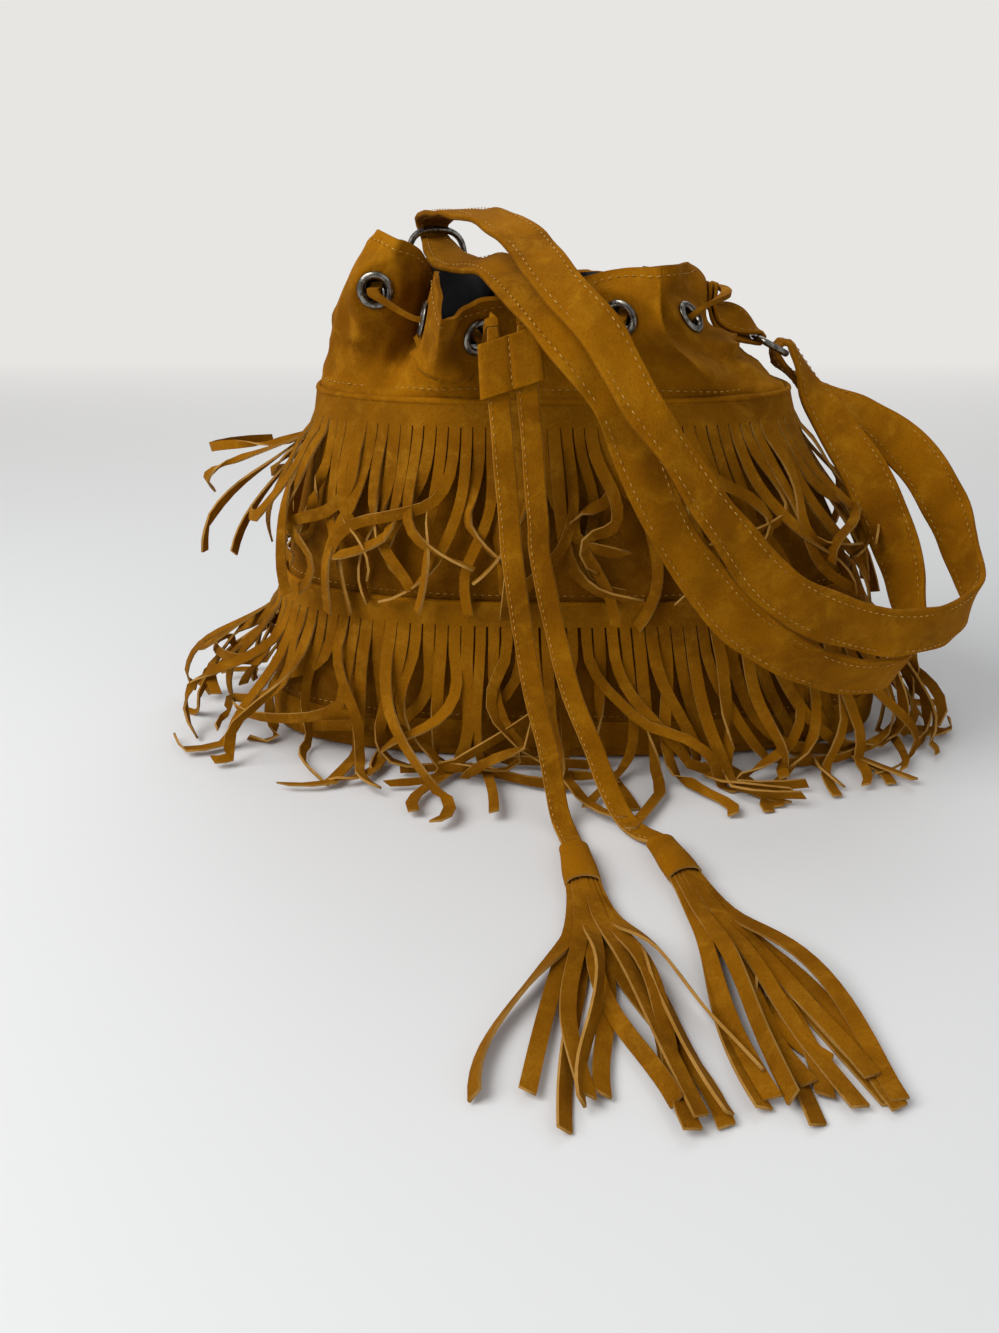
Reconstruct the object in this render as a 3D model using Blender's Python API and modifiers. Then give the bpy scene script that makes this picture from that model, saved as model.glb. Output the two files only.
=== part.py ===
# Fringed suede bucket bag with a gathered drawstring mouth, a sliding cord keeper,
# two tasselled cord ends and a looped shoulder strap on two D-rings.
# Metres, +Z up, front towards -Y. The origin is the centre of the base, on the ground.

import math
import random

import bmesh
import bpy
from mathutils import Matrix, Vector

# Driving dimensions: the bag's wall, from the base up
BASE_HALF_WIDTH = 0.185
BASE_HALF_DEPTH = 0.066
BASE_BAND = 0.028
BASE_ROUND = 0.008
WAIST_HEIGHT = 0.100
WAIST_HALF_WIDTH = 0.163
WAIST_HALF_DEPTH = 0.078
SHOULDER_HEIGHT = 0.200
SHOULDER_HALF_WIDTH = 0.125
SHOULDER_HALF_DEPTH = 0.062
SHOULDER_SHIFT = -0.016
SUEDE = 0.0022
BASE_SUEDE = 0.0026
FRINGE_SUEDE = 0.0014
LINING = 0.0008
BOARD = 0.0020
GAP = 0.0003
SQUARENESS = 2.5

# Driving dimensions: the gathered mouth
MOUTH_HALF_WIDTH = 0.100
MOUTH_HALF_DEPTH = 0.090
MOUTH_SHIFT = -0.025
COLLAR_COLUMNS = 4
FOLD_RUN = 0.045

# Driving dimensions: fringes
UPPER_BAND = 0.012
LOWER_BAND = 0.012
UPPER_STRIPS = 74
LOWER_STRIPS = 84
UPPER_DROP = 0.105
UPPER_LEFT_FLARE = 0.072
UPPER_RIGHT_FLARE = 0.010
LOWER_FLARE = 0.018
LOWER_LEFT_FLARE = 0.030
LOWER_RIGHT_FLARE = 0.004
STRIP_SHARE = 0.84

# Driving dimensions: eyelets, in pairs of a grommet and its washer
EYELET_BORE = 0.0052
EYELET_BARREL = 0.0060
EYELET_FLANGE = 0.0090
EYELET_CROWN = 0.0022
FLANGE_SEAT = 0.0009
WASHER = 0.0009
WASHER_RADIUS = 0.0074
ROLL = 0.0009
EYELET_SIDES = 12
FLAT_RADIUS = 0.0125
FLAT_FADE = 0.021

# Driving dimensions: drawstring, keeper and tassels
LACE_WIDTH = 0.0052
LACE_THICKNESS = 0.0026
LACE_SPACING = 0.010
TAIL_WIDTH = 0.0105
TAIL_THICKNESS = 0.0026
TAIL_SPACING = 0.013
KEEPER_HEIGHT = 0.024
KEEPER_WALL = 0.0018
KEEPER_CENTRE = Vector((MOUTH_SHIFT - 0.015, -MOUTH_HALF_DEPTH - 0.006, SHOULDER_HEIGHT + 0.023))
KEEPER_AXIS = Vector((0.090, -0.085, -0.990)).normalized()
KEEPER_TRAVEL = 0.080
SLOT_CLEARANCE = 0.0005
SLEEVE_HALF_WIDTH = 0.0080
SLEEVE_HALF_HEIGHT = 0.0052
SLEEVE_LENGTH = 0.028
STRANDS = 12
STRAND_WIDTH = 0.0065
STRAND_LENGTH = 0.132

# Driving dimensions: shoulder strap and its rings
STRAP_WIDTH = 0.025
STRAP_THICKNESS = 0.0026
STRAP_SPACING = 0.014
RING_HALF_WIDTH = 0.0155
RING_DEPTH = 0.0180
RING_WIRE = 0.00175
TAB_WIDTH = 0.018
TAB_SUEDE = 0.0018
TAB_SEAT = 0.014
TAB_SPACING = 0.004
STRAP_AT_RING = 0.64


bpy.ops.object.select_all(action="DESELECT")
for old in list(bpy.data.objects):
    bpy.data.objects.remove(old, do_unlink=True)

bag = bpy.data.collections.new("fringed_suede_bag")
cutters = bpy.data.collections.new("cutters")
for group in (bag, cutters):
    bpy.context.scene.collection.children.link(group)


def material(name, colour, roughness, metallic=0.0):
    made = bpy.data.materials.new(name)
    made.use_nodes = True
    shader = made.node_tree.nodes["Principled BSDF"]
    shader.inputs["Base Color"].default_value = (*colour, 1.0)
    shader.inputs["Roughness"].default_value = roughness
    shader.inputs["Metallic"].default_value = metallic
    return made


SUEDE_LOOK = material("tan_suede", (0.36, 0.17, 0.02), 0.95)
LINING_LOOK = material("black_lining", (0.02, 0.018, 0.016), 0.85)
BOARD_LOOK = material("grey_board", (0.25, 0.23, 0.21), 0.9)
METAL_LOOK = material("antique_nickel", (0.32, 0.31, 0.27), 0.32, 1.0)


def add_object(name, bm, look, outward=None):
    """Puts a bmesh into the scene; faces are turned so that the outermost one looks outward."""
    if outward is not None:
        bmesh.ops.recalc_face_normals(bm, faces=bm.faces[:])
        bm.normal_update()
        outermost = max(bm.faces, key=lambda face: face.calc_center_median().dot(outward))
        if outermost.normal.dot(outward) < 0:
            bmesh.ops.reverse_faces(bm, faces=bm.faces[:])
    mesh = bpy.data.meshes.new(name)
    bm.to_mesh(mesh)
    bm.free()
    mesh.materials.append(look)
    mesh.shade_smooth()
    mesh.set_sharp_from_angle(angle=math.radians(40))
    made = bpy.data.objects.new(name, mesh)
    bag.objects.link(made)
    return made


def solidify(made, thickness, offset=-1.0):
    modifier = made.modifiers.new("wall", "SOLIDIFY")
    modifier.thickness = thickness
    modifier.offset = offset
    modifier.use_even_offset = False
    modifier.use_rim = True
    return made


def grow(bm, edges, verts, places):
    """Extrudes edges once and moves the new end vertices to places; returns them and their edges."""
    grown = bmesh.ops.extrude_edge_only(bm, edges=edges)["geom"]
    fresh = {item for item in grown if isinstance(item, bmesh.types.BMVert)}
    ends = []
    for vert, place in zip(verts, places):
        end = next(e.other_vert(vert) for e in vert.link_edges if e.other_vert(vert) in fresh)
        end.co = place
        ends.append(end)
    kept = set(ends)
    new_edges = [item for item in grown if isinstance(item, bmesh.types.BMEdge)
                 and item.verts[0] in kept and item.verts[1] in kept]
    return new_edges, ends


def ring_of(bm, places):
    """A closed loop of edges through the given places."""
    verts = bmesh.ops.create_circle(bm, segments=len(places), radius=1.0)["verts"]
    for vert, place in zip(verts, places):
        vert.co = place
    return [edge for edge in bm.edges], list(verts)


def loft_rings(rows):
    bm = bmesh.new()
    edges, verts = ring_of(bm, rows[0])
    for row in rows[1:]:
        edges, verts = grow(bm, edges, verts, row)
    return bm, edges


def catmull(points, t):
    """A point on the smooth curve through four points, between the second and the third."""
    a, b, c, d = points
    return 0.5 * ((2 * b) + (c - a) * t + (2 * a - 5 * b + 4 * c - d) * t ** 2
                  + (3 * b - a - 3 * c + d) * t ** 3)


def smooth_through(values, place):
    """Reads a smooth curve through equally spaced values at a real-valued place."""
    last = len(values) - 1
    i = max(0, min(last - 1, math.floor(place)))
    near = [values[max(0, min(last, i + k))] for k in (-1, 0, 1, 2)]
    return catmull(near, place - i)


# The bag's wall: rings of a rounded outline that changes with height

def section(height):
    """Centre, half width and half depth of the wall's outline at a height."""
    levels = (0.0, BASE_BAND, WAIST_HEIGHT, SHOULDER_HEIGHT)
    seam_share = BASE_BAND / WAIST_HEIGHT
    widths = (BASE_HALF_WIDTH, BASE_HALF_WIDTH + (WAIST_HALF_WIDTH - BASE_HALF_WIDTH) * seam_share * 0.5,
              WAIST_HALF_WIDTH, SHOULDER_HALF_WIDTH)
    depths = (BASE_HALF_DEPTH, BASE_HALF_DEPTH + (WAIST_HALF_DEPTH - BASE_HALF_DEPTH) * seam_share * 1.6,
              WAIST_HALF_DEPTH, SHOULDER_HALF_DEPTH)
    shifts = (0.0, 0.0, SHOULDER_SHIFT * 0.3, SHOULDER_SHIFT)
    height = max(0.0, min(SHOULDER_HEIGHT, height))
    i = max(k for k in range(3) if height >= levels[k])
    place = i + (height - levels[i]) / (levels[i + 1] - levels[i])
    return tuple(smooth_through(row, place) for row in (shifts, widths, depths))


def outline_point(turn, centre, half_width, half_depth, out=0.0):
    """A point of the rounded outline; turn 0 is the front centre and a quarter turn is the left end."""
    angle = -math.pi / 2 - turn * math.tau
    c, s = math.cos(angle), math.sin(angle)
    power = 2 / SQUARENESS
    x = half_width * math.copysign(abs(c) ** power, c)
    y = half_depth * math.copysign(abs(s) ** power, s)
    normal = Vector((math.copysign(abs(x / half_width) ** (SQUARENESS - 1), x) / half_width,
                     math.copysign(abs(y / half_depth) ** (SQUARENESS - 1), y) / half_depth)).normalized()
    return Vector((centre + x, y)) + normal * out, normal


def wall_point(turn, height, out=0.0):
    place, normal = outline_point(turn, *section(height), out)
    return Vector((place.x, place.y, height)), Vector((normal.x, normal.y, 0.0))


def even_turns(height, count, out=0.0):
    """Turns whose points on the wall are evenly spaced by length."""
    fine = 720
    points = [wall_point(k / fine, height, out)[0] for k in range(fine + 1)]
    run = [0.0]
    for a, b in zip(points, points[1:]):
        run.append(run[-1] + (b - a).length)
    turns = []
    k = 0
    for n in range(count):
        goal = run[-1] * n / count
        while run[k + 1] < goal:
            k += 1
        turns.append((k + (goal - run[k]) / (run[k + 1] - run[k])) / fine)
    return turns


WALL_COLUMNS = 44


def wall_rows(heights, out=0.0):
    turns = even_turns(WAIST_HEIGHT, WALL_COLUMNS)
    return [[wall_point(turn, height, out)[0] for turn in turns] for height in heights]


def make_panel(name, low, high, steps):
    heights = [low + (high - low) * k / steps for k in range(steps + 1)]
    bm, _ = loft_rings(wall_rows(heights))
    return solidify(add_object(name, bm, SUEDE_LOOK, Vector((0, -1, 0))), SUEDE)


def tray(levels):
    """Rings given as (height, inset), joined from the top down and closed by a flat bottom."""
    rows = [[wall_point(turn, height, -inset)[0] for turn in even_turns(WAIST_HEIGHT, WALL_COLUMNS)]
            for height, inset in levels]
    bm, edges = loft_rings(rows)
    bmesh.ops.contextual_create(bm, geom=edges)
    return bm


def make_base():
    low = BASE_ROUND
    bm = tray([(BASE_BAND - GAP, 0.0), (low, 0.0), (low * 0.3, low * 0.3), (0.0, low)])
    solidify(add_object("base_panel", bm, SUEDE_LOOK, Vector((0, -1, 0))), BASE_SUEDE)
    inset = BASE_SUEDE + BASE_ROUND
    bm = bmesh.new()
    turns = even_turns(WAIST_HEIGHT, WALL_COLUMNS)
    floor = BASE_SUEDE + 0.5 * GAP
    flat = [wall_point(turn, 0.0, -inset)[0] + Vector((0, 0, floor)) for turn in turns]
    edges, _ = ring_of(bm, flat)
    bmesh.ops.contextual_create(bm, geom=edges)
    solidify(add_object("base_board", bm, BOARD_LOOK, Vector((0, 0, -1))), BOARD)


def make_lining():
    skin = BASE_SUEDE + 3 * GAP
    floor = BASE_SUEDE + BOARD + 2 * GAP
    rows = [SHOULDER_HEIGHT - 2 * GAP - (SHOULDER_HEIGHT - WAIST_HEIGHT) * k / 4 for k in range(4)]
    levels = [(height, skin) for height in rows + [WAIST_HEIGHT, (WAIST_HEIGHT + BASE_BAND) / 2, BASE_BAND]]
    levels += [(floor + BASE_ROUND, skin + GAP), (floor, skin + BASE_ROUND)]
    bm = tray(levels)
    solidify(add_object("lining", bm, LINING_LOOK, Vector((0, -1, 0))), LINING)


# The gathered mouth: each fold has a place on the shoulder seam, as a share of its length
# from the front centre, a place at the eyelets' level and a place at the hem. x and y are
# shares of the mouth's half width and half depth from its centre, rise is the height above
# the shoulder seam, and the last entry tells where an eyelet or a ring's tab sits.
LEFT_TAB, RIGHT_TAB = -1, -2
FOLDS = (
    # seam share, x, y, rise at the eyelets, hem x, hem y, hem rise, seat
    (0.000, 0.05, -0.40, 0.036, 0.05, -0.26, 0.050, 0),
    (0.030, -0.11, -0.66, 0.034, -0.15, -0.73, 0.049, 0),
    (0.065, -0.30, -0.74, 0.031, -0.34, -0.88, 0.044, 1),
    (0.095, -0.48, -0.92, 0.028, -0.46, -1.08, 0.041, 0),
    (0.120, -0.56, -0.64, 0.038, -0.51, -0.69, 0.060, 2),
    (0.140, -0.54, -0.16, 0.040, -0.50, -0.20, 0.053, 0),
    (0.162, -0.62, -0.41, 0.049, -0.585, -0.45, 0.069, 0),
    (0.190, -0.80, -0.55, 0.051, -0.69, -0.54, 0.074, 3),
    (0.222, -0.97, -0.42, 0.050, -0.79, -0.40, 0.078, 0),
    (0.252, -1.01, -0.12, 0.049, -0.80, -0.12, 0.076, 0),
    (0.300, -0.88, 0.14, 0.047, -0.73, 0.12, 0.070, 4),
    (0.350, -0.50, 0.10, 0.042, -0.50, 0.11, 0.058, LEFT_TAB),
    (0.415, -0.22, 0.42, 0.045, -0.20, 0.37, 0.061, 5),
    (0.485, 0.08, 0.74, 0.042, 0.06, 0.62, 0.058, 0),
    (0.540, 0.32, 0.56, 0.040, 0.29, 0.48, 0.0565, 6),
    (0.580, 0.44, 0.17, 0.041, 0.41, 0.13, 0.0565, 0),
    (0.630, 0.76, 0.40, 0.041, 0.66, 0.34, 0.058, 0),
    (0.700, 0.90, 0.08, 0.040, 0.79, 0.07, 0.061, RIGHT_TAB),
    (0.780, 0.76, -0.37, 0.037, 0.68, -0.34, 0.062, 7),
    (0.815, 0.62, -0.56, 0.038, 0.60, -0.46, 0.061, 0),
    (0.865, 0.57, -0.95, 0.034, 0.55, -0.77, 0.062, 0),
    (0.915, 0.37, -0.78, 0.040, 0.37, -0.70, 0.0615, 8),
    (0.958, 0.21, -0.68, 0.038, 0.22, -0.61, 0.058, 0),
)
EYELET_COUNT = 8


def fold_place(x, y, rise):
    return Vector((MOUTH_SHIFT + x * MOUTH_HALF_WIDTH, y * MOUTH_HALF_DEPTH, SHOULDER_HEIGHT + rise))


def fold_turns():
    """Each fold's turn on the shoulder seam."""
    even = even_turns(SHOULDER_HEIGHT, 360) + [1.0]
    found = []
    for fold in FOLDS:
        low = int(fold[0] * 360)
        found.append(even[low] + (even[low + 1] - even[low]) * (fold[0] * 360 - low))
    return found


FOLD_TURNS = fold_turns()
SEAM_LAP = 0.0010
SEAM_STAND = 0.0035


def fold_column(index):
    """The four heights that a fold runs through: below the seam, seam, eyelets and hem."""
    fold = FOLDS[index % len(FOLDS)]
    turn = FOLD_TURNS[index % len(FOLDS)]
    below = wall_point(turn, SHOULDER_HEIGHT - FOLD_RUN, SEAM_LAP)[0]
    seam = wall_point(turn, SHOULDER_HEIGHT, SEAM_LAP)[0]
    return below, seam, fold_place(*fold[1:4]), fold_place(*fold[4:7])


def raw_collar(u, v):
    """The mouth's outer face; u counts folds, v is 0 at the seam, 1 at the eyelets and 2 at the hem."""
    i = math.floor(u)
    columns = [fold_column(i + k) for k in (-1, 0, 1, 2)]
    if v <= 1.0:
        levels = [[column[0], column[1], column[2], column[3]] for column in columns]
        t = v
    else:
        levels = [[column[1], column[2], column[3], column[3] * 2 - column[2]] for column in columns]
        t = v - 1.0
    return catmull([catmull(level, t) for level in levels], u - i)


def raw_normal(u, v):
    step = 0.02
    along = raw_collar(u + step, v) - raw_collar(u - step, v)
    up = raw_collar(u, min(2.0, v + step)) - raw_collar(u, v - step)
    return up.cross(along).normalized()


EYELET_FOLDS = [next(i for i, fold in enumerate(FOLDS) if fold[7] == n + 1) for n in range(EYELET_COUNT)]
EYELET_PLACES = [(raw_collar(i, 1.0), raw_normal(i, 1.0)) for i in EYELET_FOLDS]
TAB_FOLDS = {"left": next(i for i, fold in enumerate(FOLDS) if fold[7] == LEFT_TAB),
             "right": next(i for i, fold in enumerate(FOLDS) if fold[7] == RIGHT_TAB)}
TAB_PLACES = {hand: (raw_collar(i, 1.0), Vector((*raw_normal(i, 1.0).xy, 0.0)).normalized())
              for hand, i in TAB_FOLDS.items()}
FLAT_SEATS = [(fold, place, FLAT_RADIUS, FLAT_FADE) for fold, place in zip(EYELET_FOLDS, EYELET_PLACES)]
FLAT_SEATS += [(TAB_FOLDS[hand], TAB_PLACES[hand], 0.8 * TAB_WIDTH, 1.4 * TAB_WIDTH) for hand in TAB_FOLDS]


def collar_point(u, v):
    """The mouth's face, pressed flat where an eyelet or a tab holds it."""
    place = raw_collar(u, v)
    for index, (centre, normal), flat, fade in FLAT_SEATS:
        apart = abs((u - index + len(FOLDS) / 2) % len(FOLDS) - len(FOLDS) / 2)
        if apart > 1.5:
            continue
        away = (place - centre).length
        hold = 1.0 - max(0.0, min(1.0, (away - flat) / (fade - flat)))
        hold = hold * hold * (3 - 2 * hold) * max(0.0, min(1.0, 3.0 - 2 * apart))
        place = place - normal * ((place - centre).dot(normal) * hold)
    return place


def eyelet_matrix(n):
    """Stands +Z on the outward normal at an eyelet."""
    centre, normal = EYELET_PLACES[n]
    return Matrix.Translation(centre) @ normal.to_track_quat("Z", "Y").to_matrix().to_4x4()


def make_collar():
    levels = [0.0, 0.45, 0.83, 1.0, 1.35, 1.68, 2.0]
    count = len(FOLDS) * COLLAR_COLUMNS
    rows = [[collar_point(k / COLLAR_COLUMNS, v) for k in range(count)] for v in levels]
    foot = [place + Vector((0, 0, GAP)) for place in rows[0]]
    rows[0] = [place + Vector((0, 0, GAP + SEAM_STAND)) for place in rows[0]]
    rows.insert(0, foot)
    bm, _ = loft_rings(rows)
    made = solidify(add_object("collar", bm, SUEDE_LOOK, Vector((0, -1, 0))), SUEDE)
    hole = EYELET_BARREL / math.cos(math.pi / EYELET_SIDES) + GAP
    for n in range(EYELET_COUNT):
        bm = bmesh.new()
        bmesh.ops.create_cone(bm, cap_ends=True, segments=EYELET_SIDES, radius1=hole, radius2=hole, depth=8 * SUEDE)
        cutter = add_object(f"eyelet_cutter_{n + 1}", bm, SUEDE_LOOK)
        bag.objects.unlink(cutter)
        cutters.objects.link(cutter)
        cutter.matrix_world = eyelet_matrix(n)
        cutter.hide_render = True
        cutter.display_type = "WIRE"
    cut = made.modifiers.new("eyelet_holes", "BOOLEAN")
    cut.operation = "DIFFERENCE"
    cut.solver = "EXACT"
    cut.operand_type = "COLLECTION"
    cut.collection = cutters


def turned(name, profile, sides, look):
    """A closed outline at +X, swept round Z."""
    bm = bmesh.new()
    verts = [bm.verts.new((radius, 0.0, height)) for radius, height in profile]
    for a, b in zip(verts, verts[1:] + verts[:1]):
        bm.edges.new((a, b))
    made = add_object(name, bm, look)
    sweep = made.modifiers.new("sweep", "SCREW")
    sweep.angle = math.tau
    sweep.steps = sides
    sweep.render_steps = sides
    sweep.use_merge_vertices = True
    sweep.merge_threshold = 0.00001
    sweep.use_smooth_shade = True
    return made


def make_eyelets():
    back = -SUEDE - 2 * GAP
    end = back - WASHER - GAP
    grommet = (
        (EYELET_BORE, EYELET_CROWN * 0.55), (0.5 * (EYELET_BORE + EYELET_FLANGE), EYELET_CROWN),
        (EYELET_FLANGE * 0.96, EYELET_CROWN * 0.75), (EYELET_FLANGE, FLANGE_SEAT),
        (EYELET_BARREL, FLANGE_SEAT), (EYELET_BARREL, end),
        (EYELET_BARREL + ROLL, end), (EYELET_BARREL + ROLL * 0.6, end - ROLL),
        (EYELET_BORE, end - ROLL),
    )
    inner = EYELET_BARREL / math.cos(math.pi / EYELET_SIDES) + 0.5 * GAP
    washer = ((WASHER_RADIUS, back), (WASHER_RADIUS, back - WASHER), (inner, back - WASHER), (inner, back))
    for n in range(EYELET_COUNT):
        turned(f"eyelet_{n + 1}", grommet, EYELET_SIDES, METAL_LOOK).matrix_world = eyelet_matrix(n)
        turned(f"eyelet_washer_{n + 1}", washer, EYELET_SIDES, METAL_LOOK).matrix_world = eyelet_matrix(n)


# Fringes: a band round the bag whose lower part is cut into strips

def strip_path(turn, top, drop, out_at, steps):
    """Places down a strip, each with the direction along the band."""
    found = []
    for k in range(1, steps + 1):
        t = k / steps
        height = max(FRINGE_SUEDE, top - drop * t)
        place, normal = wall_point(turn, height, out_at(t))
        found.append((place, Vector((normal.y, -normal.x, 0.0))))
    return found


def make_fringe(name, seam, band, strips, drop, out_at, steps, seed):
    dice = random.Random(seed)
    turns = even_turns(seam, strips)
    start = FRINGE_SUEDE + 4 * GAP
    rows = [[wall_point(turn, height, start)[0] for turn in turns] for height in (seam - GAP, seam - band)]
    bm, edges = loft_rings(rows)
    bm.verts.ensure_lookup_table()
    foot = [min((v for e in edges for v in e.verts), key=lambda v: (v.co - place).length) for place in rows[1]]
    pitch = sum((b - a).length for a, b in zip(rows[1], rows[1][1:])) / (strips - 1)
    width = pitch * STRIP_SHARE
    for k in range(strips):
        a, b = foot[k], foot[(k + 1) % strips]
        edge = bm.edges.get((a, b))
        after = turns[(k + 1) % strips] + (1.0 if k + 1 == strips else 0.0)
        turn = (turns[k] + after) / 2
        sway = dice.uniform(-1.0, 1.0) * pitch * (1 - STRIP_SHARE) * 0.3
        loose = dice.uniform(0.0, 1.0)
        ends = (a, b)
        edges_now = [edge]
        length = drop(turn, dice)
        for step, (place, along) in enumerate(strip_path(turn, seam - band, length, lambda t: out_at(turn, t, loose), steps)):
            middle = place + along * sway * (step + 1) / steps
            sides = (middle - along * width / 2, middle + along * width / 2)
            if (sides[1] - sides[0]).dot(ends[1].co - ends[0].co) < 0:
                sides = (sides[1], sides[0])
            edges_now, ends = grow(bm, edges_now, ends, sides)
    solidify(add_object(name, bm, SUEDE_LOOK, Vector((0, -1, 0))), FRINGE_SUEDE)


def end_share(turn, left, right):
    """Reads left at the bag's left end and right at its right end, fading to 0 at the front and back."""
    swing = math.sin(turn * math.tau)
    return (left if swing > 0 else right) * abs(swing) ** 6


def tail_parting(turn):
    """1 where the cord ends hang in front of the bag, else 0."""
    apart = min(abs(turn - 0.005), abs(turn - 1.005))
    return max(0.0, min(1.0, (0.10 - apart) / 0.04))


def upper_out(turn, t, loose):
    ends = end_share(turn, UPPER_LEFT_FLARE, UPPER_RIGHT_FLARE) * (0.55 + 0.45 * loose)
    return FRINGE_SUEDE + 4 * GAP + 0.0045 * t + 0.0035 * t * loose + ends * t


def lower_out(turn, t, loose):
    flare = LOWER_FLARE + end_share(turn, LOWER_LEFT_FLARE, LOWER_RIGHT_FLARE)
    flare *= 0.8 + 0.2 * loose
    return FRINGE_SUEDE + 4 * GAP + flare * (1 - 0.45 * tail_parting(turn)) * t ** 1.7


def make_fringes():
    make_fringe("fringe_upper", SHOULDER_HEIGHT, UPPER_BAND, UPPER_STRIPS,
                lambda turn, dice: UPPER_DROP - UPPER_BAND - dice.uniform(0.0, 0.012), upper_out, 2, 5)
    make_fringe("fringe_lower", WAIST_HEIGHT, LOWER_BAND, LOWER_STRIPS,
                lambda turn, dice: WAIST_HEIGHT - LOWER_BAND - dice.uniform(0.001, 0.006), lower_out, 3, 9)


# Flat cords and straps: an edge carried along a smooth route

def route_points(stations, spacing, closed=False):
    """Reads a smooth curve through (place, facing, width share) stations at an even spacing."""
    count = len(stations)
    spans = count if closed else count - 1
    found = []
    for i in range(spans):
        if closed:
            near = [stations[(i + k) % count] for k in (-1, 0, 1, 2)]
        else:
            near = [stations[max(0, min(count - 1, i + k))] for k in (-1, 0, 1, 2)]
        length = (near[2][0] - near[1][0]).length
        steps = max(1, round(length / spacing))
        for k in range(steps):
            t = k / steps
            found.append(tuple(catmull([station[part] for station in near], t) for part in range(3)))
    if not closed:
        found.append(stations[-1])
    return found


def make_ribbon(name, stations, width, thickness, spacing, look=SUEDE_LOOK, closed=False):
    """A flat strap: the width lies across the route, square to the way that the strap faces."""
    points = route_points(stations, spacing, closed)
    count = len(points)
    pairs = []
    for i, (place, facing, share) in enumerate(points):
        before = points[i - 1][0] if closed or i else place
        after = points[(i + 1) % count][0] if closed or i < count - 1 else place
        across = (after - before).cross(facing).normalized() * (width * share / 2)
        pairs.append((place - across, place + across))
    bm = bmesh.new()
    ends = [bm.verts.new(place) for place in pairs[0]]
    first = list(ends)
    edges = [bm.edges.new(ends)]
    for pair in pairs[1:]:
        edges, ends = grow(bm, edges, ends, pair)
    if closed:
        bm.faces.new((ends[0], ends[1], first[1], first[0]))
        bmesh.ops.recalc_face_normals(bm, faces=bm.faces[:])
    return solidify(add_object(name, bm, look), thickness, 0.0)


# The keeper: a suede strip folded into two loops round the cord ends and stitched between them

def keeper_frame():
    """Columns are across, out of the front and down along the cord ends."""
    down = KEEPER_AXIS
    across = Vector((1, 0, 0)) - down * down.x
    across.normalize()
    front = across.cross(down).normalized()
    if front.y > 0:
        front = -front
    return across, front, down


ACROSS, FRONT, DOWN = keeper_frame()
SLOT_WIDTH = TAIL_WIDTH + 2 * SLOT_CLEARANCE
SLOT_DEPTH = TAIL_THICKNESS + 2 * SLOT_CLEARANCE
LOOP_PITCH = SLOT_WIDTH + 1.1 * KEEPER_WALL


def make_keeper():
    half_width = LOOP_PITCH / 2 + SLOT_WIDTH / 2 + KEEPER_WALL
    half_depth = SLOT_DEPTH / 2 + KEEPER_WALL
    turn = Matrix((ACROSS, FRONT, DOWN)).transposed().to_4x4()
    place = Matrix.Translation(KEEPER_CENTRE) @ turn
    bm = bmesh.new()
    bmesh.ops.create_cube(bm, size=1.0)
    bmesh.ops.scale(bm, verts=bm.verts[:], vec=(2 * half_width, 2 * half_depth, KEEPER_HEIGHT))
    upright = [e for e in bm.edges if abs((e.verts[0].co - e.verts[1].co).z) > KEEPER_HEIGHT / 2]
    bmesh.ops.bevel(bm, geom=upright, offset=half_depth * 0.85, segments=3, profile=0.5, affect="EDGES")
    for shift in (-0.9 * KEEPER_WALL, 0.0, 0.9 * KEEPER_WALL):
        bmesh.ops.bisect_plane(bm, geom=bm.verts[:] + bm.edges[:] + bm.faces[:],
                               plane_co=(shift, 0, 0), plane_no=(1, 0, 0))
    for vert in bm.verts:
        if abs(vert.co.x) < KEEPER_WALL * 0.2:
            vert.co.y *= 0.55
    made = add_object("cord_keeper", bm, SUEDE_LOOK)
    made.data.transform(place)
    slots = bpy.data.collections.new("keeper_slots")
    bpy.context.scene.collection.children.link(slots)
    for side in (-1, 1):
        bm = bmesh.new()
        bmesh.ops.create_cube(bm, size=1.0)
        bmesh.ops.scale(bm, verts=bm.verts[:], vec=(SLOT_WIDTH, SLOT_DEPTH, KEEPER_HEIGHT * 1.5))
        cutter = add_object(f"keeper_slot_{'left' if side < 0 else 'right'}", bm, SUEDE_LOOK)
        bag.objects.unlink(cutter)
        slots.objects.link(cutter)
        cutter.data.transform(place @ Matrix.Translation((side * LOOP_PITCH / 2, 0, 0)))
        cutter.hide_render = True
        cutter.display_type = "WIRE"
    cut = made.modifiers.new("slots", "BOOLEAN")
    cut.operation = "DIFFERENCE"
    cut.solver = "EXACT"
    cut.operand_type = "COLLECTION"
    cut.collection = slots


# The drawstring: in and out through the eyelets, then two ends through the keeper to the tassels

BORE_REACH = 0.0075
# Folds, counted from the front centre, that the lace rests on between the sixth and seventh eyelets
LACE_RESTS = (16.0, 16.6, 17.4)
LACE_TOP = KEEPER_HEIGHT / 2 + 0.004


def eyelet_side(n, reach):
    centre, normal = EYELET_PLACES[n]
    return centre + normal * reach


def tail_top(side):
    return KEEPER_CENTRE + ACROSS * side * LOOP_PITCH / 2 - DOWN * LACE_TOP


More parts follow.
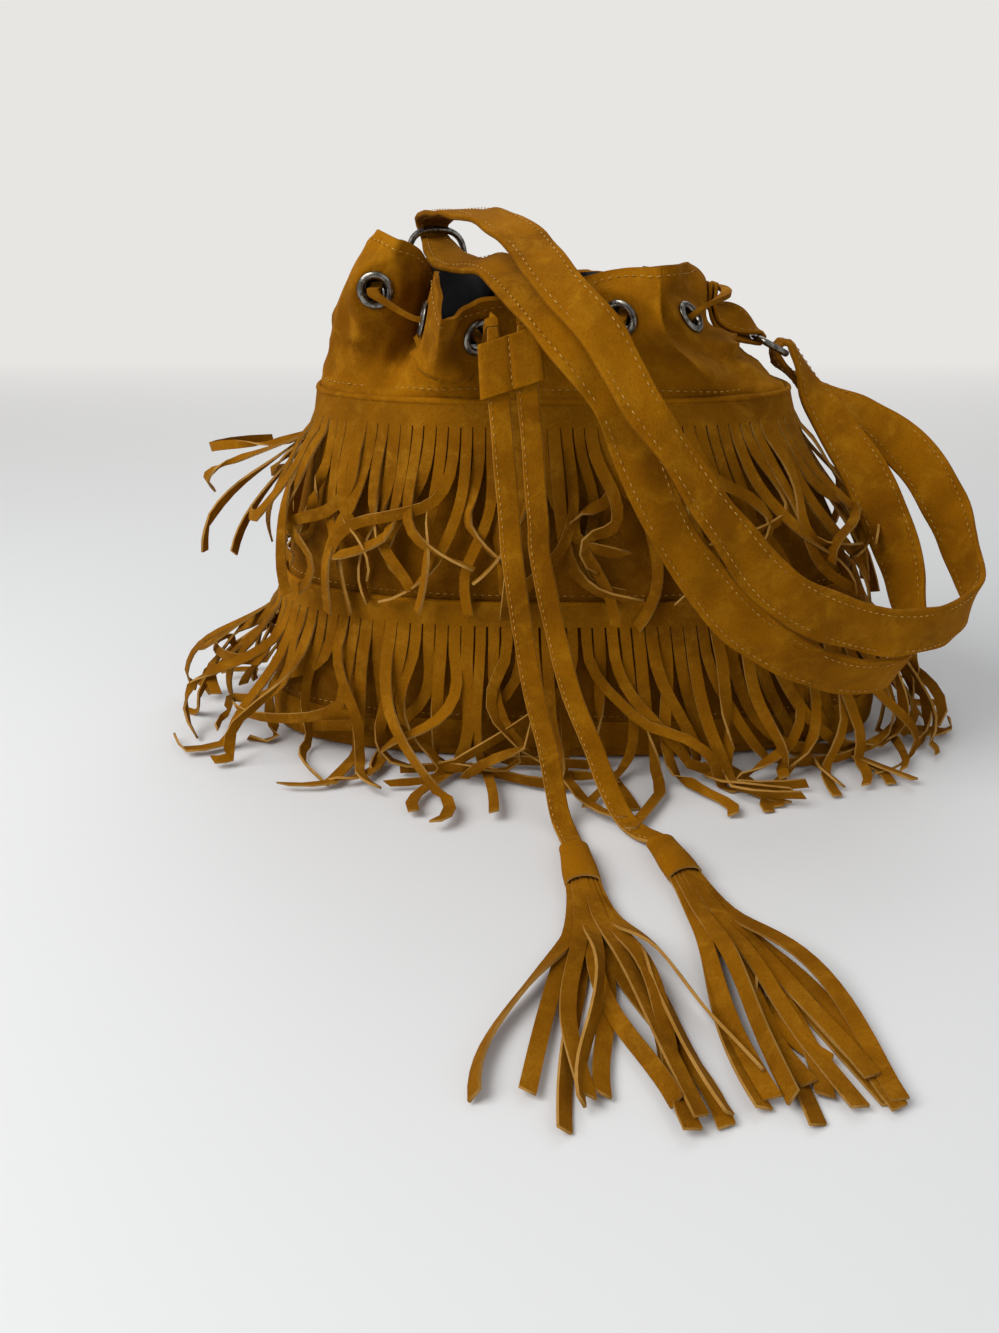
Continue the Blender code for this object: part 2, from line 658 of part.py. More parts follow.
def make_drawstring():
    up = Vector((0, 0, 1))
    end = KEEPER_HEIGHT / 2 + 0.004 + GAP
    stations = []

    def add(place, share=1.0, facing=None):
        stations.append((place, facing if facing is not None else FRONT, share))

    left_end, right_end = (KEEPER_CENTRE + ACROSS * side * LOOP_PITCH / 2 - DOWN * end for side in (-1, 1))
    add(left_end)
    add(left_end - DOWN * 0.003)
    add((left_end - DOWN * 0.003).lerp(eyelet_side(0, BORE_REACH), 0.4) + up * 0.004, 1.0, (FRONT + up).normalized())
    for n in range(EYELET_COUNT):
        normal = EYELET_PLACES[n][1]
        outside, inside = eyelet_side(n, BORE_REACH), eyelet_side(n, -BORE_REACH - SUEDE)
        outward = n % 2 == 1
        order = (inside, outside) if outward else (outside, inside)
        lift = normal.cross(up).normalized()
        facing = lift.cross(normal)
        add(order[0], 1.0, facing)
        add(order[0].lerp(order[1], 0.5), 1.0, facing)
        add(order[1], 1.0, facing)
        if n == 5:
            for u in LACE_RESTS:
                add(raw_collar(u, 1.0) + raw_normal(u, 1.0) * (BORE_REACH + 0.0065), 1.0, up)
    add((right_end - DOWN * 0.003).lerp(eyelet_side(7, BORE_REACH), 0.25), 1.0, (FRONT + up).normalized())
    add(right_end - DOWN * 0.003)
    add(right_end)
    make_ribbon("drawstring", stations, LACE_WIDTH, LACE_THICKNESS, LACE_SPACING)


GROUND = TAIL_THICKNESS / 2 + GAP
SLEEVE_AXIS_HEIGHT = SLEEVE_HALF_HEIGHT + 0.0004
# Each tassel's place and the points that each cord end runs through after its straight stretch
# are given from the front of the base, in its middle
TASSELS = {
    "left": {"start": Vector((-0.0093, -0.094, SLEEVE_AXIS_HEIGHT)), "heading": Vector((0.02, -0.999, 0)).normalized(),
             "spread": math.radians(17)},
    "right": {"start": Vector((0.0330, -0.089, SLEEVE_AXIS_HEIGHT)), "heading": Vector((0.30, -0.954, 0)).normalized(),
              "spread": math.radians(11)},
}
TAIL_ROUTES = {
    "left": (Vector((-0.0300, -0.0450, 0.0750)), Vector((-0.0205, -0.0550, 0.0360)),
             Vector((-0.0150, -0.0670, 0.0085)), Vector((-0.0110, -0.0800, 0.0030))),
    "right": (Vector((-0.0120, -0.0450, 0.0750)), Vector((0.0030, -0.0540, 0.0360)),
              Vector((0.0155, -0.0650, 0.0085)), Vector((0.0240, -0.0765, 0.0030))),
}
BASE_FRONT = Vector((0, -BASE_HALF_DEPTH, 0))


def make_tail(hand, side):
    """From just above the keeper, straight down, out over the fringe and along the ground to the tassel."""
    straight = KEEPER_TRAVEL + KEEPER_HEIGHT + 0.006
    top = tail_top(side)
    sleeve = TASSELS[hand]
    start = BASE_FRONT + sleeve["start"]
    stations = [(top, FRONT, 1.0), (top + DOWN * straight / 2, FRONT, 1.0), (top + DOWN * straight, FRONT, 1.0)]
    up = Vector((0, 0, 1))
    for k, place in enumerate(TAIL_ROUTES[hand]):
        facing = FRONT.lerp(up, (k + 1) / 5).normalized()
        stations.append((BASE_FRONT + place, facing, 1.0))
    stations.append((start, up, 1.0))
    stations.append((start + sleeve["heading"] * SLEEVE_LENGTH * 0.5, up, 1.0))
    make_ribbon(f"drawstring_tail_{hand}", stations, TAIL_WIDTH, TAIL_THICKNESS, TAIL_SPACING)


def make_tassel(hand):
    """A rolled fringe: a flattened sleeve whose lower edge is cut into strands that lie on the ground."""
    sleeve = TASSELS[hand]
    start, heading = BASE_FRONT + sleeve["start"], sleeve["heading"]
    across = Vector((-heading.y, heading.x, 0.0))
    up = Vector((0, 0, 1))

    def oval(along, grow_by):
        found = []
        for k in range(STRANDS):
            angle = math.tau * (k + 0.5) / STRANDS
            found.append(start + heading * along + across * math.cos(angle) * SLEEVE_HALF_WIDTH * grow_by
                         + up * math.sin(angle) * SLEEVE_HALF_HEIGHT)
        return found

    bm, edges = loft_rings([oval(0.0, 0.95), oval(SLEEVE_LENGTH, 1.0)])
    foot = [min((v for e in edges for v in e.verts), key=lambda v: (v.co - place).length)
            for place in oval(SLEEVE_LENGTH, 1.0)]
    dice = random.Random(31 if hand == "left" else 47)
    half = STRANDS // 2
    for k in range(STRANDS):
        a, b = foot[k], foot[(k + 1) % STRANDS]
        middle_angle = math.tau * (k + 1.0) / STRANDS
        above = k < half
        slot = half - 1 - k if above else k - half
        share = (slot + (0.25 if above else 0.75)) / half * 2 - 1
        bearing = -share * sleeve["spread"]
        way = heading * math.cos(bearing) - across * math.sin(bearing)
        centre = start + heading * SLEEVE_LENGTH
        side = Vector((-way.y, way.x, 0.0))
        root = (a.co.z + b.co.z) / 2
        length = STRAND_LENGTH * dice.uniform(0.92, 1.0)
        level = 3.3 * FRINGE_SUEDE if above else 2 * GAP
        edges_now, ends = [bm.edges.get((a, b))], (a, b)
        for step, t in enumerate((0.18, 0.55, 1.0)):
            width = min(STRAND_WIDTH, 0.0030 + 0.0038 * t / 0.55)
            if step == 0:
                width = (a.co - b.co).length * 0.9
            fan = SLEEVE_HALF_WIDTH + length * t * math.sin(sleeve["spread"])
            place = centre + heading * length * t * math.cos(bearing) + across * share * fan
            place.z = level + (root - level) * (0.30 if step == 0 else 0.0)
            place.z += 0.0012 if above and step == 0 else 0.0
            sides = (place - side * width / 2, place + side * width / 2)
            if (sides[1] - sides[0]).dot(ends[1].co - ends[0].co) < 0:
                sides = (sides[1], sides[0])
            edges_now, ends = grow(bm, edges_now, ends, sides)
    solidify(add_object(f"tassel_{hand}", bm, SUEDE_LOOK, up), FRINGE_SUEDE)


# D-rings: a straight bar held by a tab and a bow that the strap runs through

def ring_frames():
    """For each ring: the bar's centre, the way along the bar, the way from the bar to the bow, and their cross."""
    leans = {"left": Vector((0.05, 0.10, 1.0)), "right": Vector((0.80, -0.28, -0.42))}
    found = {}
    for hand, (seat, normal) in TAB_PLACES.items():
        reach, rise = TAB_REACH[hand]
        flat = Vector((normal.x, normal.y, 0.0)).normalized()
        bar = seat + flat * reach + Vector((0, 0, rise))
        along = Vector((0, 0, 1)).cross(flat)
        out = leans[hand]
        out = (out - along * out.dot(along)).normalized()
        found[hand] = (bar, along, out, along.cross(out).normalized())
    return found


TAB_REACH = {"left": (0.0105, 0.0175), "right": (0.030, -0.016)}
RINGS = ring_frames()


def make_ring(hand):
    bar, along, out, _ = RINGS[hand]
    corner = 0.0035
    points = []
    for share in (-1.0, 0.0, 1.0):
        points.append((share * (RING_HALF_WIDTH - corner), 0.0))
    points.append((RING_HALF_WIDTH - corner * 0.3, corner * 0.3))
    steps = 12
    for k in range(steps + 1):
        angle = math.pi * k / steps
        across, deep = math.cos(angle), abs(math.sin(angle)) ** 0.75
        across = math.copysign(abs(across) ** 0.75, across)
        points.append((RING_HALF_WIDTH * across, corner + (RING_DEPTH - corner) * deep))
    points.append((-RING_HALF_WIDTH + corner * 0.3, corner * 0.3))
    curve = bpy.data.curves.new(f"ring_{hand}_line", "CURVE")
    curve.dimensions = "3D"
    spline = curve.splines.new("POLY")
    spline.points.add(len(points) - 1)
    for point, (x, y) in zip(spline.points, points):
        place = bar + along * x + out * y
        point.co = (*place, 1.0)
    spline.use_cyclic_u = True
    curve.bevel_depth = RING_WIRE
    curve.bevel_resolution = 2
    curve.use_fill_caps = True
    curve.materials.append(METAL_LOOK)
    bag.objects.link(bpy.data.objects.new(f"ring_{hand}", curve))


# The tabs: a suede strip folded round the ring's bar and sewn to the collar

# Where the sewn stretch begins and ends, from the seat's centre upwards, in shares of its length
TAB_SEWN = {"left": (-0.25, 0.75), "right": (0.85, -0.05)}


def make_tab(hand):
    """Runs from the seat on the collar over the bar and back, as two layers."""
    bar, along, out, _ = RINGS[hand]
    seat, normal = TAB_PLACES[hand]
    loop = RING_WIRE + GAP + TAB_SUEDE / 2 + 0.0002
    inner = seat + normal * (TAB_SUEDE / 2 + 4 * GAP)
    outer = inner + normal * (TAB_SUEDE + 4 * GAP)
    up = (Vector((0, 0, 1)) - normal * normal.z).normalized()
    far = (bar - seat).normalized()
    side = along.cross(far).normalized()
    side = side if side.dot(normal) > 0 else -side
    foot, head = (up * TAB_SEAT * share for share in TAB_SEWN[hand])
    layers = [(inner, -1), (outer, 1)]
    sewn = [[(place + foot, normal * way, 1.0), (place + (foot + head) / 2, normal * way, 1.0),
             (place + head, normal * way, 1.0),
             ((place + head).lerp(bar + side * loop * way, 0.55), side * way, 1.0)] for place, way in layers]
    stations = sewn[0]
    for k in range(5):
        angle = math.pi * k / 4
        facing = far * math.sin(angle) - side * math.cos(angle)
        stations.append((bar + facing * loop, facing, 1.0))
    stations += sewn[1][::-1]
    make_ribbon(f"ring_tab_{hand}", stations, TAB_WIDTH, TAB_SUEDE, TAB_SPACING)


# The shoulder strap: one long loop of strap, threaded through both rings.
# Its hand-picked stations are for the bag's drawn size: they stretch with the bag, and
# near a ring they go with the ring.
DRAWN = Vector((0.185, 0.066, 0.200))
DRAWN_RINGS = {"left": Vector((-0.0787, 0.0188, 0.2595)), "right": Vector((0.0950, 0.0055, 0.2240))}
RING_HOLD = 0.060
BOW_CLEARANCE = 0.0024


def drawn(x, y, z):
    picked = Vector((x, y, z))
    place = Vector((x * BASE_HALF_WIDTH / DRAWN.x, y * BASE_HALF_DEPTH / DRAWN.y, z * SHOULDER_HEIGHT / DRAWN.z))
    for hand, bar in DRAWN_RINGS.items():
        hold = max(0.0, min(1.0, 2 - (picked - bar).length / RING_HOLD))
        place = place.lerp(RINGS[hand][0] + picked - bar, hold)
    return place


BOW_RADIUS = RING_WIRE + GAP + STRAP_THICKNESS / 2 + BOW_CLEARANCE


def bow_wrap(hand, sense):
    """Three stations round a ring's bow, from the side that sense names, through the ring, to the other side."""
    bar, _, out, normal = RINGS[hand]
    bow = bar + out * RING_DEPTH
    return [(bow + way * BOW_RADIUS, way, STRAP_AT_RING) for way in (normal * sense, -out, normal * -sense)]


def strap_stations():
    """Places and the ways that one face of the strap looks, once round the whole loop."""
    found = bow_wrap("right", 1.0)[::-1]

    def add(x, y, z, facing, share=1.0):
        found.append((drawn(x, y, z), Vector(facing).normalized(), share))

    add(0.1239, 0.0130, 0.1990, (-0.35, 0.35, -0.87), 0.9)
    add(0.1559, 0.0080, 0.1837, (-0.10, 0.60, -0.80))
    add(0.1804, 0.0000, 0.1679, (0.25, 0.80, -0.55))
    add(0.1964, -0.0120, 0.1491, (0.50, 0.85, -0.20))
    add(0.2070, -0.0320, 0.1240, (0.90, 0.55, -0.05))
    add(0.2060, -0.0660, 0.1000, (0.95, -0.20, -0.10))
    add(0.1740, -0.0980, 0.0940, (0.40, -0.90, -0.05))
    add(0.1334, -0.1130, 0.1000, (0.10, -0.98, -0.05))
    add(0.0858, -0.1270, 0.1243, (-0.02, -0.99, 0.10))
    add(0.0529, -0.1330, 0.1610, (-0.05, -0.98, 0.20))
    add(0.0310, -0.1340, 0.1900, (-0.08, -0.96, 0.26))
    add(0.0146, -0.1320, 0.2121, (-0.10, -0.93, 0.36))
    add(-0.0026, -0.1220, 0.2395, (-0.12, -0.80, 0.58))
    add(-0.0190, -0.1060, 0.2564, (-0.12, -0.62, 0.77))
    add(-0.0357, -0.0700, 0.2757, (-0.05, -0.35, 0.93))
    add(-0.0560, -0.0300, 0.2850, (0.0, -0.12, 0.99))
    bar, _, out, normal = RINGS["left"]
    over = bar + out * RING_DEPTH + (out * 0.94 - normal * 0.34) * (BOW_RADIUS + 0.5 * BOW_CLEARANCE)
    found.append((over, (out - normal * 0.2).normalized(), 0.85))
    found += bow_wrap("left", 1.0)[:2]
    add(-0.0720, -0.0060, 0.2655, (0.0, 0.15, -0.99), 0.9)
    add(-0.0640, -0.0260, 0.2620, (0.05, 0.20, -0.98))
    add(-0.0440, -0.0600, 0.2620, (0.10, 0.38, -0.92))
    add(-0.0190, -0.1100, 0.2410, (0.10, 0.75, -0.65))
    add(0.0060, -0.1180, 0.2126, (0.10, 0.93, -0.35))
    add(0.0180, -0.1170, 0.1840, (0.10, 0.97, -0.20))
    add(0.0320, -0.1150, 0.1550, (0.10, 0.98, -0.15))
    add(0.0490, -0.1120, 0.1290, (0.08, 0.98, -0.15))
    add(0.0780, -0.1100, 0.0980, (0.05, 0.97, 0.20))
    add(0.1200, -0.1060, 0.0740, (-0.05, 0.90, 0.42))
    add(0.1560, -0.0930, 0.0670, (-0.30, 0.85, 0.40))
    add(0.1770, -0.0690, 0.0740, (-0.75, 0.40, 0.50))
    add(0.1770, -0.0500, 0.0980, (-0.85, -0.35, 0.20))
    add(0.1670, -0.0400, 0.1280, (-0.50, -0.80, 0.20))
    add(0.1510, -0.0260, 0.1600, (-0.10, -0.85, 0.50))
    add(0.1290, -0.0040, 0.1930, (0.25, -0.62, 0.74), 0.9)
    return found


def make_strap():
    make_ribbon("shoulder_strap", strap_stations(), STRAP_WIDTH, STRAP_THICKNESS, STRAP_SPACING, closed=True)


make_base()
make_lining()
make_panel("lower_panel", BASE_BAND + GAP / 2, WAIST_HEIGHT - GAP / 2, 3)
make_panel("middle_panel", WAIST_HEIGHT + GAP / 2, SHOULDER_HEIGHT - GAP / 2, 4)
make_collar()
make_eyelets()
make_fringes()
make_keeper()
make_drawstring()
for hand, side in (("left", -1), ("right", 1)):
    make_tail(hand, side)
    make_tassel(hand)
    make_ring(hand)
    make_tab(hand)
make_strap()
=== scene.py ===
# Fringed suede drawstring bag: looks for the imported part. Metres, front towards -Y.
import math
import random
import bmesh
import bpy
from mathutils import Matrix, Vector, noise


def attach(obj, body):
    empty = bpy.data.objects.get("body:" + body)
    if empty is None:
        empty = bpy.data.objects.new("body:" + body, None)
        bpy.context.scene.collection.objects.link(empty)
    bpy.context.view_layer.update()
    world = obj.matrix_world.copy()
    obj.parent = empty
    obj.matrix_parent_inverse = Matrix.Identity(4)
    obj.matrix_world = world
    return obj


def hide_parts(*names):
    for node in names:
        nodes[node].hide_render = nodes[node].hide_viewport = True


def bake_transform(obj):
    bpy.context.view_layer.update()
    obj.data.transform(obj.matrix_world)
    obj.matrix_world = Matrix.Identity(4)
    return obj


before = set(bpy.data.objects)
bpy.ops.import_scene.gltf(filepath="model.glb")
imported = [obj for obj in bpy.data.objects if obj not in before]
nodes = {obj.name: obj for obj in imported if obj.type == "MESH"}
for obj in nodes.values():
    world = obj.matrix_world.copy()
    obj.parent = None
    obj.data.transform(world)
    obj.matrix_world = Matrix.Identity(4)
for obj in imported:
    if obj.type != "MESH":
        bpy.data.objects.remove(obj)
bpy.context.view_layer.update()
tau = math.tau
up = Vector((0, 0, 1))
sceneNow = bpy.context.scene
print("frame loaded")

# camera, floor and lamps
studio = {"lens": 27.03, "place": (-0.045, -0.566, 0.2816), "pitch": 24.0, "world": 0.34,
          "floor": (0.73, 0.735, 0.735), "glow": (0.80, 0.79, 0.77), "glowFrom": 0.2, "glowTo": 1.7,
          "ahead": 1.6, "nearer": 0.2, "level": 2.6, "sweep": 0.9,
          "lamps": (("keyLamp", 24.0, 1.1, (-1.0, -0.62, 1.2), (0, 0, 0.1)),     # name, power, size, place, aim
                    ("fillLamp", 4.0, 1.6, (1.1, -0.9, 0.9), (0, 0, 0.1)),
                    ("backLamp", 5.0, 1.2, (0.3, 1.0, 1.3), (0, 0, 0.15)))}


def setUpStudio():
    data = bpy.data.cameras.new("camera")
    data.sensor_width, data.lens = 36.0, studio["lens"]
    data.clip_start, data.clip_end = 0.01, 30.0
    camera = bpy.data.objects.new("camera", data)
    camera.location = studio["place"]
    camera.rotation_euler = (math.radians(90 - studio["pitch"]), 0, 0)
    sceneNow.collection.objects.link(camera)
    sceneNow.camera = camera
    for name, power, size, spot, aim in studio["lamps"]:
        lamp = bpy.data.lights.new(name, "AREA")
        lamp.energy, lamp.size = power, size
        holder = bpy.data.objects.new(name, lamp)
        holder.location = spot
        holder.rotation_euler = (Vector(aim) - Vector(spot)).to_track_quat("-Z", "Y").to_euler()
        sceneNow.collection.objects.link(holder)
    world = bpy.data.worlds.new("studio")
    world.use_nodes = True
    world.node_tree.nodes["Background"].inputs["Color"].default_value = (0.97, 0.98, 1.0, 1)
    world.node_tree.nodes["Background"].inputs["Strength"].default_value = studio["world"]
    sceneNow.world = world
    sceneNow.view_settings.view_transform = "Standard"
    bm = bmesh.new()
    bmesh.ops.create_grid(bm, x_segments=4, y_segments=24, size=3.0)
    level, sweep = studio["level"], studio["sweep"]
    for vert in bm.verts:                        # the floor sweeps up behind the bag
        run = vert.co.y + studio["ahead"]
        bend = min(max(run - level, 0.0), sweep * math.pi / 2)
        vert.co.y = min(run, level) + sweep * math.sin(bend / sweep) - studio["nearer"]
        vert.co.z = sweep * (1 - math.cos(bend / sweep)) + max(0.0, run - level - sweep * math.pi / 2)
    mesh = bpy.data.meshes.new("floor")
    bm.to_mesh(mesh)
    bm.free()
    mesh.shade_smooth()
    floor = bpy.data.objects.new("floor", mesh)
    sceneNow.collection.objects.link(floor)
    paint, tree, shader = newMaterial("paleFloor", 0.55, colour=studio["floor"])
    rays, glow, join, spot, far = (tree.nodes.new(f"ShaderNode{kind}") for kind in (
        "LightPath", "Emission", "MixShader", "SeparateXYZ", "MapRange"))
    tree.links.new(tree.nodes.new("ShaderNodeTexCoord").outputs["Object"], spot.inputs["Vector"])
    far.inputs["From Min"].default_value, far.inputs["From Max"].default_value = studio["glowFrom"], studio["glowTo"]
    tree.links.new(spot.outputs["Y"], far.inputs["Value"])
    seen = rays.outputs["Is Camera Ray"]
    for more in ("Is Glossy Ray", "Is Transmission Ray"):
        seen = addMath(tree, "MAXIMUM", seen, rays.outputs[more])
    glow.inputs["Color"].default_value = (*studio["glow"], 1)
    for source, socket in ((addMath(tree, "MULTIPLY", seen, far.outputs["Result"]), join.inputs["Fac"]),
                           (shader.outputs["BSDF"], join.inputs[1]), (glow.outputs["Emission"], join.inputs[2]),
                           (join.outputs["Shader"], tree.nodes["Material Output"].inputs["Surface"])):
        tree.links.new(source, socket)
    mesh.materials.append(paint)


# materials
def makeGroup(name, inputs, outputs):
    tree = bpy.data.node_groups.new(name, "ShaderNodeTree")
    for label, kind, value in inputs:
        socket = tree.interface.new_socket(label, in_out="INPUT", socket_type=kind)
        socket.default_value = value
    for label, kind in outputs:
        tree.interface.new_socket(label, in_out="OUTPUT", socket_type=kind)
    return tree, tree.nodes.new("NodeGroupInput"), tree.nodes.new("NodeGroupOutput")


def addNoise(tree, coords, scale, detail, rough=0.55, distortion=0.0):
    node = tree.nodes.new("ShaderNodeTexNoise")
    node.inputs["Scale"].default_value = scale
    node.inputs["Detail"].default_value = detail
    node.inputs["Roughness"].default_value = rough
    node.inputs["Distortion"].default_value = distortion
    tree.links.new(coords, node.inputs["Vector"])
    return node.outputs["Fac"]


def addRange(tree, value, low, high, outLow=0.0, outHigh=1.0):
    node = tree.nodes.new("ShaderNodeMapRange")
    node.interpolation_type = "SMOOTHSTEP"
    for label, number in (("From Min", low), ("From Max", high), ("To Min", outLow), ("To Max", outHigh)):
        node.inputs[label].default_value = number
    tree.links.new(value, node.inputs["Value"])
    return node.outputs["Result"]


def addMix(tree, share, a, b, blend="MIX"):
    node = tree.nodes.new("ShaderNodeMix")
    node.data_type = "RGBA"
    node.blend_type = blend
    for socket, value in ((node.inputs["Factor"], share), (node.inputs["A"], a), (node.inputs["B"], b)):
        if isinstance(value, bpy.types.NodeSocket):
            tree.links.new(value, socket)
        else:
            socket.default_value = value
    return node.outputs["Result"]


def addMath(tree, kind, a, b):
    node = tree.nodes.new("ShaderNodeMath")
    node.operation = kind
    for socket, value in zip(node.inputs, (a, b)):
        if isinstance(value, bpy.types.NodeSocket):
            tree.links.new(value, socket)
        else:
            socket.default_value = value
    return node.outputs["Value"]


def buildNap():
    # brushed suede
    tree, start, end = makeGroup(
        "suedeNap",
        [("Base", "NodeSocketColor", (0.3, 0.14, 0.01, 1)), ("Dark", "NodeSocketColor", (0.15, 0.06, 0.004, 1)),
         ("Light", "NodeSocketColor", (0.45, 0.24, 0.04, 1))],
        [("Color", "NodeSocketColor"), ("Height", "NodeSocketFloat"), ("Rough", "NodeSocketFloat")])
    coords = tree.nodes.new("ShaderNodeTexCoord").outputs["Object"]
    patches = addNoise(tree, coords, 19.0, 4.0, 0.55, 0.3)
    strokes = addNoise(tree, coords, 70.0, 5.0, 0.7, 0.5)
    grain = addNoise(tree, coords, 850.0, 3.0, 0.7)
    speck = addNoise(tree, coords, 2300.0, 2.0, 0.6)
    colour = start.outputs["Base"]
    for pattern, low, high, least, most, tone in (
            (patches, 0.30, 0.66, 0.85, 0.0, "Dark"), (strokes, 0.44, 0.78, 0.0, 0.55, "Light"),
            (grain, 0.30, 0.52, 0.42, 0.0, "Dark"), (speck, 0.55, 0.75, 0.0, 0.35, "Light")):
        colour = addMix(tree, addRange(tree, pattern, low, high, least, most), colour, start.outputs[tone])
    height = addMath(tree, "ADD", addMath(tree, "MULTIPLY", grain, 0.7), addMath(tree, "MULTIPLY", strokes, 0.6))
    height = addMath(tree, "ADD", height, addMath(tree, "MULTIPLY", speck, 0.25))
    tree.links.new(colour, end.inputs["Color"])
    tree.links.new(height, end.inputs["Height"])
    tree.links.new(addRange(tree, strokes, 0.3, 0.7, 0.98, 0.84), end.inputs["Rough"])
    return tree


napGroup = buildNap()


def newMaterial(name, roughness=0.9, metallic=0.0, colour=(0.5, 0.5, 0.5)):
    made = bpy.data.materials.new(name)
    made.use_nodes = True
    shader = made.node_tree.nodes["Principled BSDF"]
    shader.inputs["Base Color"].default_value = (*colour, 1)
    shader.inputs["Roughness"].default_value = roughness
    shader.inputs["Metallic"].default_value = metallic
    return made, made.node_tree, shader


def addBump(tree, shader, height, strength, distance):
    bump = tree.nodes.new("ShaderNodeBump")
    bump.inputs["Strength"].default_value = strength
    bump.inputs["Distance"].default_value = distance
    tree.links.new(height, bump.inputs["Height"])
    tree.links.new(bump.outputs["Normal"], shader.inputs["Normal"])


def makeSuede(name, base, dark, light, sheen=0.08, bump=0.55):
    made, tree, shader = newMaterial(name, 0.93, colour=base)
    nap = tree.nodes.new("ShaderNodeGroup")
    nap.node_tree = napGroup
    for label, colour in (("Base", base), ("Dark", dark), ("Light", light)):
        nap.inputs[label].default_value = (*colour, 1)
    tree.links.new(nap.outputs["Color"], shader.inputs["Base Color"])
    tree.links.new(nap.outputs["Rough"], shader.inputs["Roughness"])
    addBump(tree, shader, nap.outputs["Height"], bump, 0.0007)
    shader.inputs["Sheen Weight"].default_value = sheen
    shader.inputs["Sheen Roughness"].default_value = 0.45
    shader.inputs["Sheen Tint"].default_value = (0.95, 0.52, 0.10, 1)
    shader.inputs["Specular IOR Level"].default_value = 0.04
    return made


def makeMetal():
    made, tree, shader = newMaterial("antiqueNickel", 0.3, 1.0, (0.24, 0.225, 0.195))
    coords = tree.nodes.new("ShaderNodeTexCoord").outputs["Object"]
    tarnish = addRange(tree, addNoise(tree, coords, 260.0, 4.0, 0.6), 0.42, 0.66)
    brushed = addNoise(tree, coords, 1400.0, 2.0)
    colour = addMix(tree, tarnish, (0.25, 0.235, 0.205, 1), (0.075, 0.068, 0.055, 1))
    tree.links.new(colour, shader.inputs["Base Color"])
    tree.links.new(addRange(tree, tarnish, 0.0, 1.0, 0.22, 0.48), shader.inputs["Roughness"])
    addBump(tree, shader, brushed, 0.2, 0.0002)
    return made


def makeCloth(name, colour, pale, pitch):
    made, tree, shader = newMaterial(name, 0.85, colour=colour)
    coords = tree.nodes.new("ShaderNodeTexCoord").outputs["Object"]
    waves = []
    for way in ("X", "Z"):
        wave = tree.nodes.new("ShaderNodeTexWave")
        wave.bands_direction = way
        wave.inputs["Scale"].default_value = 0.31 / pitch
        wave.inputs["Distortion"].default_value = 0.4
        tree.links.new(coords, wave.inputs["Vector"])
        waves.append(wave.outputs["Fac"])
    weave = addMath(tree, "MULTIPLY", *waves)
    fuzz = addRange(tree, addNoise(tree, coords, 60.0, 4.0), 0.4, 0.7, 0.0, 0.5)
    shade = addMix(tree, fuzz, (*colour, 1), (*pale, 1))
    shade = addMix(tree, addRange(tree, weave, 0.2, 0.9, 0.0, 0.4), shade, (*pale, 1))
    tree.links.new(shade, shader.inputs["Base Color"])
    addBump(tree, shader, weave, 0.4, 0.0003)
    return made


def makeThread():
    made, tree, shader = newMaterial("goldThread", 0.65, colour=(0.50, 0.27, 0.06))
    coords = tree.nodes.new("ShaderNodeTexCoord").outputs["Object"]
    wear = addRange(tree, addNoise(tree, coords, 160.0, 3.0), 0.38, 0.62)
    tree.links.new(addMix(tree, wear, (0.33, 0.155, 0.018, 1), (0.50, 0.28, 0.06, 1)), shader.inputs["Base Color"])
    shader.inputs["Specular IOR Level"].default_value = 0.2
    return made


suede = makeSuede("goldenSuede", (0.290, 0.106, 0.0014), (0.140, 0.045, 0.0006), (0.42, 0.186, 0.006))
fringeSuede = makeSuede("fringeSuede", (0.252, 0.093, 0.0018), (0.125, 0.041, 0.0008), (0.39, 0.172, 0.009))
# a darker copy of the suede: painted shade for the walls seen between the fringe strips
paintedShadeSuede = makeSuede("paintedShadeSuede", (0.185, 0.064, 0.0011), (0.095, 0.030, 0.0006), (0.28, 0.115, 0.005))
cutEdge = makeSuede("cutEdge", (0.40, 0.205, 0.045), (0.27, 0.125, 0.017), (0.53, 0.315, 0.10), 0.08, 0.7)
foldedEdge = makeSuede("foldedEdge", (0.245, 0.088, 0.0016), (0.125, 0.040, 0.0007), (0.37, 0.16, 0.007))
blackLining = makeCloth("blackLining", (0.012, 0.011, 0.012), (0.035, 0.033, 0.034), 0.0006)
greyBoard = makeCloth("greyBoard", (0.20, 0.18, 0.16), (0.30, 0.28, 0.25), 0.0020)
nickel = makeMetal()
thread = makeThread()
print("materials made")
setUpStudio()
print("studio ready")


# shared making steps
def place(name, bm, looks, body="bag", stands=(), merge=0.0, outward=None):
    # bmesh to a finished piece
    if merge:
        bmesh.ops.remove_doubles(bm, verts=bm.verts[:], dist=merge)
    if outward is not None:
        bmesh.ops.recalc_face_normals(bm, faces=bm.faces[:])
        bm.normal_update()
        far = max(bm.faces, key=lambda face: face.calc_center_median().dot(outward))
        if far.normal.dot(outward) < 0:
            bmesh.ops.reverse_faces(bm, faces=bm.faces[:])
    for face in bm.faces:
        face.smooth = True
    for edge in bm.edges:                        # a cut edge stays crisp once the wall has its thickness
        edge.smooth = not edge.is_boundary
    mesh = bpy.data.meshes.new(name)
    bm.to_mesh(mesh)
    bm.free()
    for look in looks:
        mesh.materials.append(look)
    piece = bpy.data.objects.new(name, mesh)
    sceneNow.collection.objects.link(piece)
    if body:
        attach(piece, body)
    if stands:
        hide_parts(*stands)
    return piece


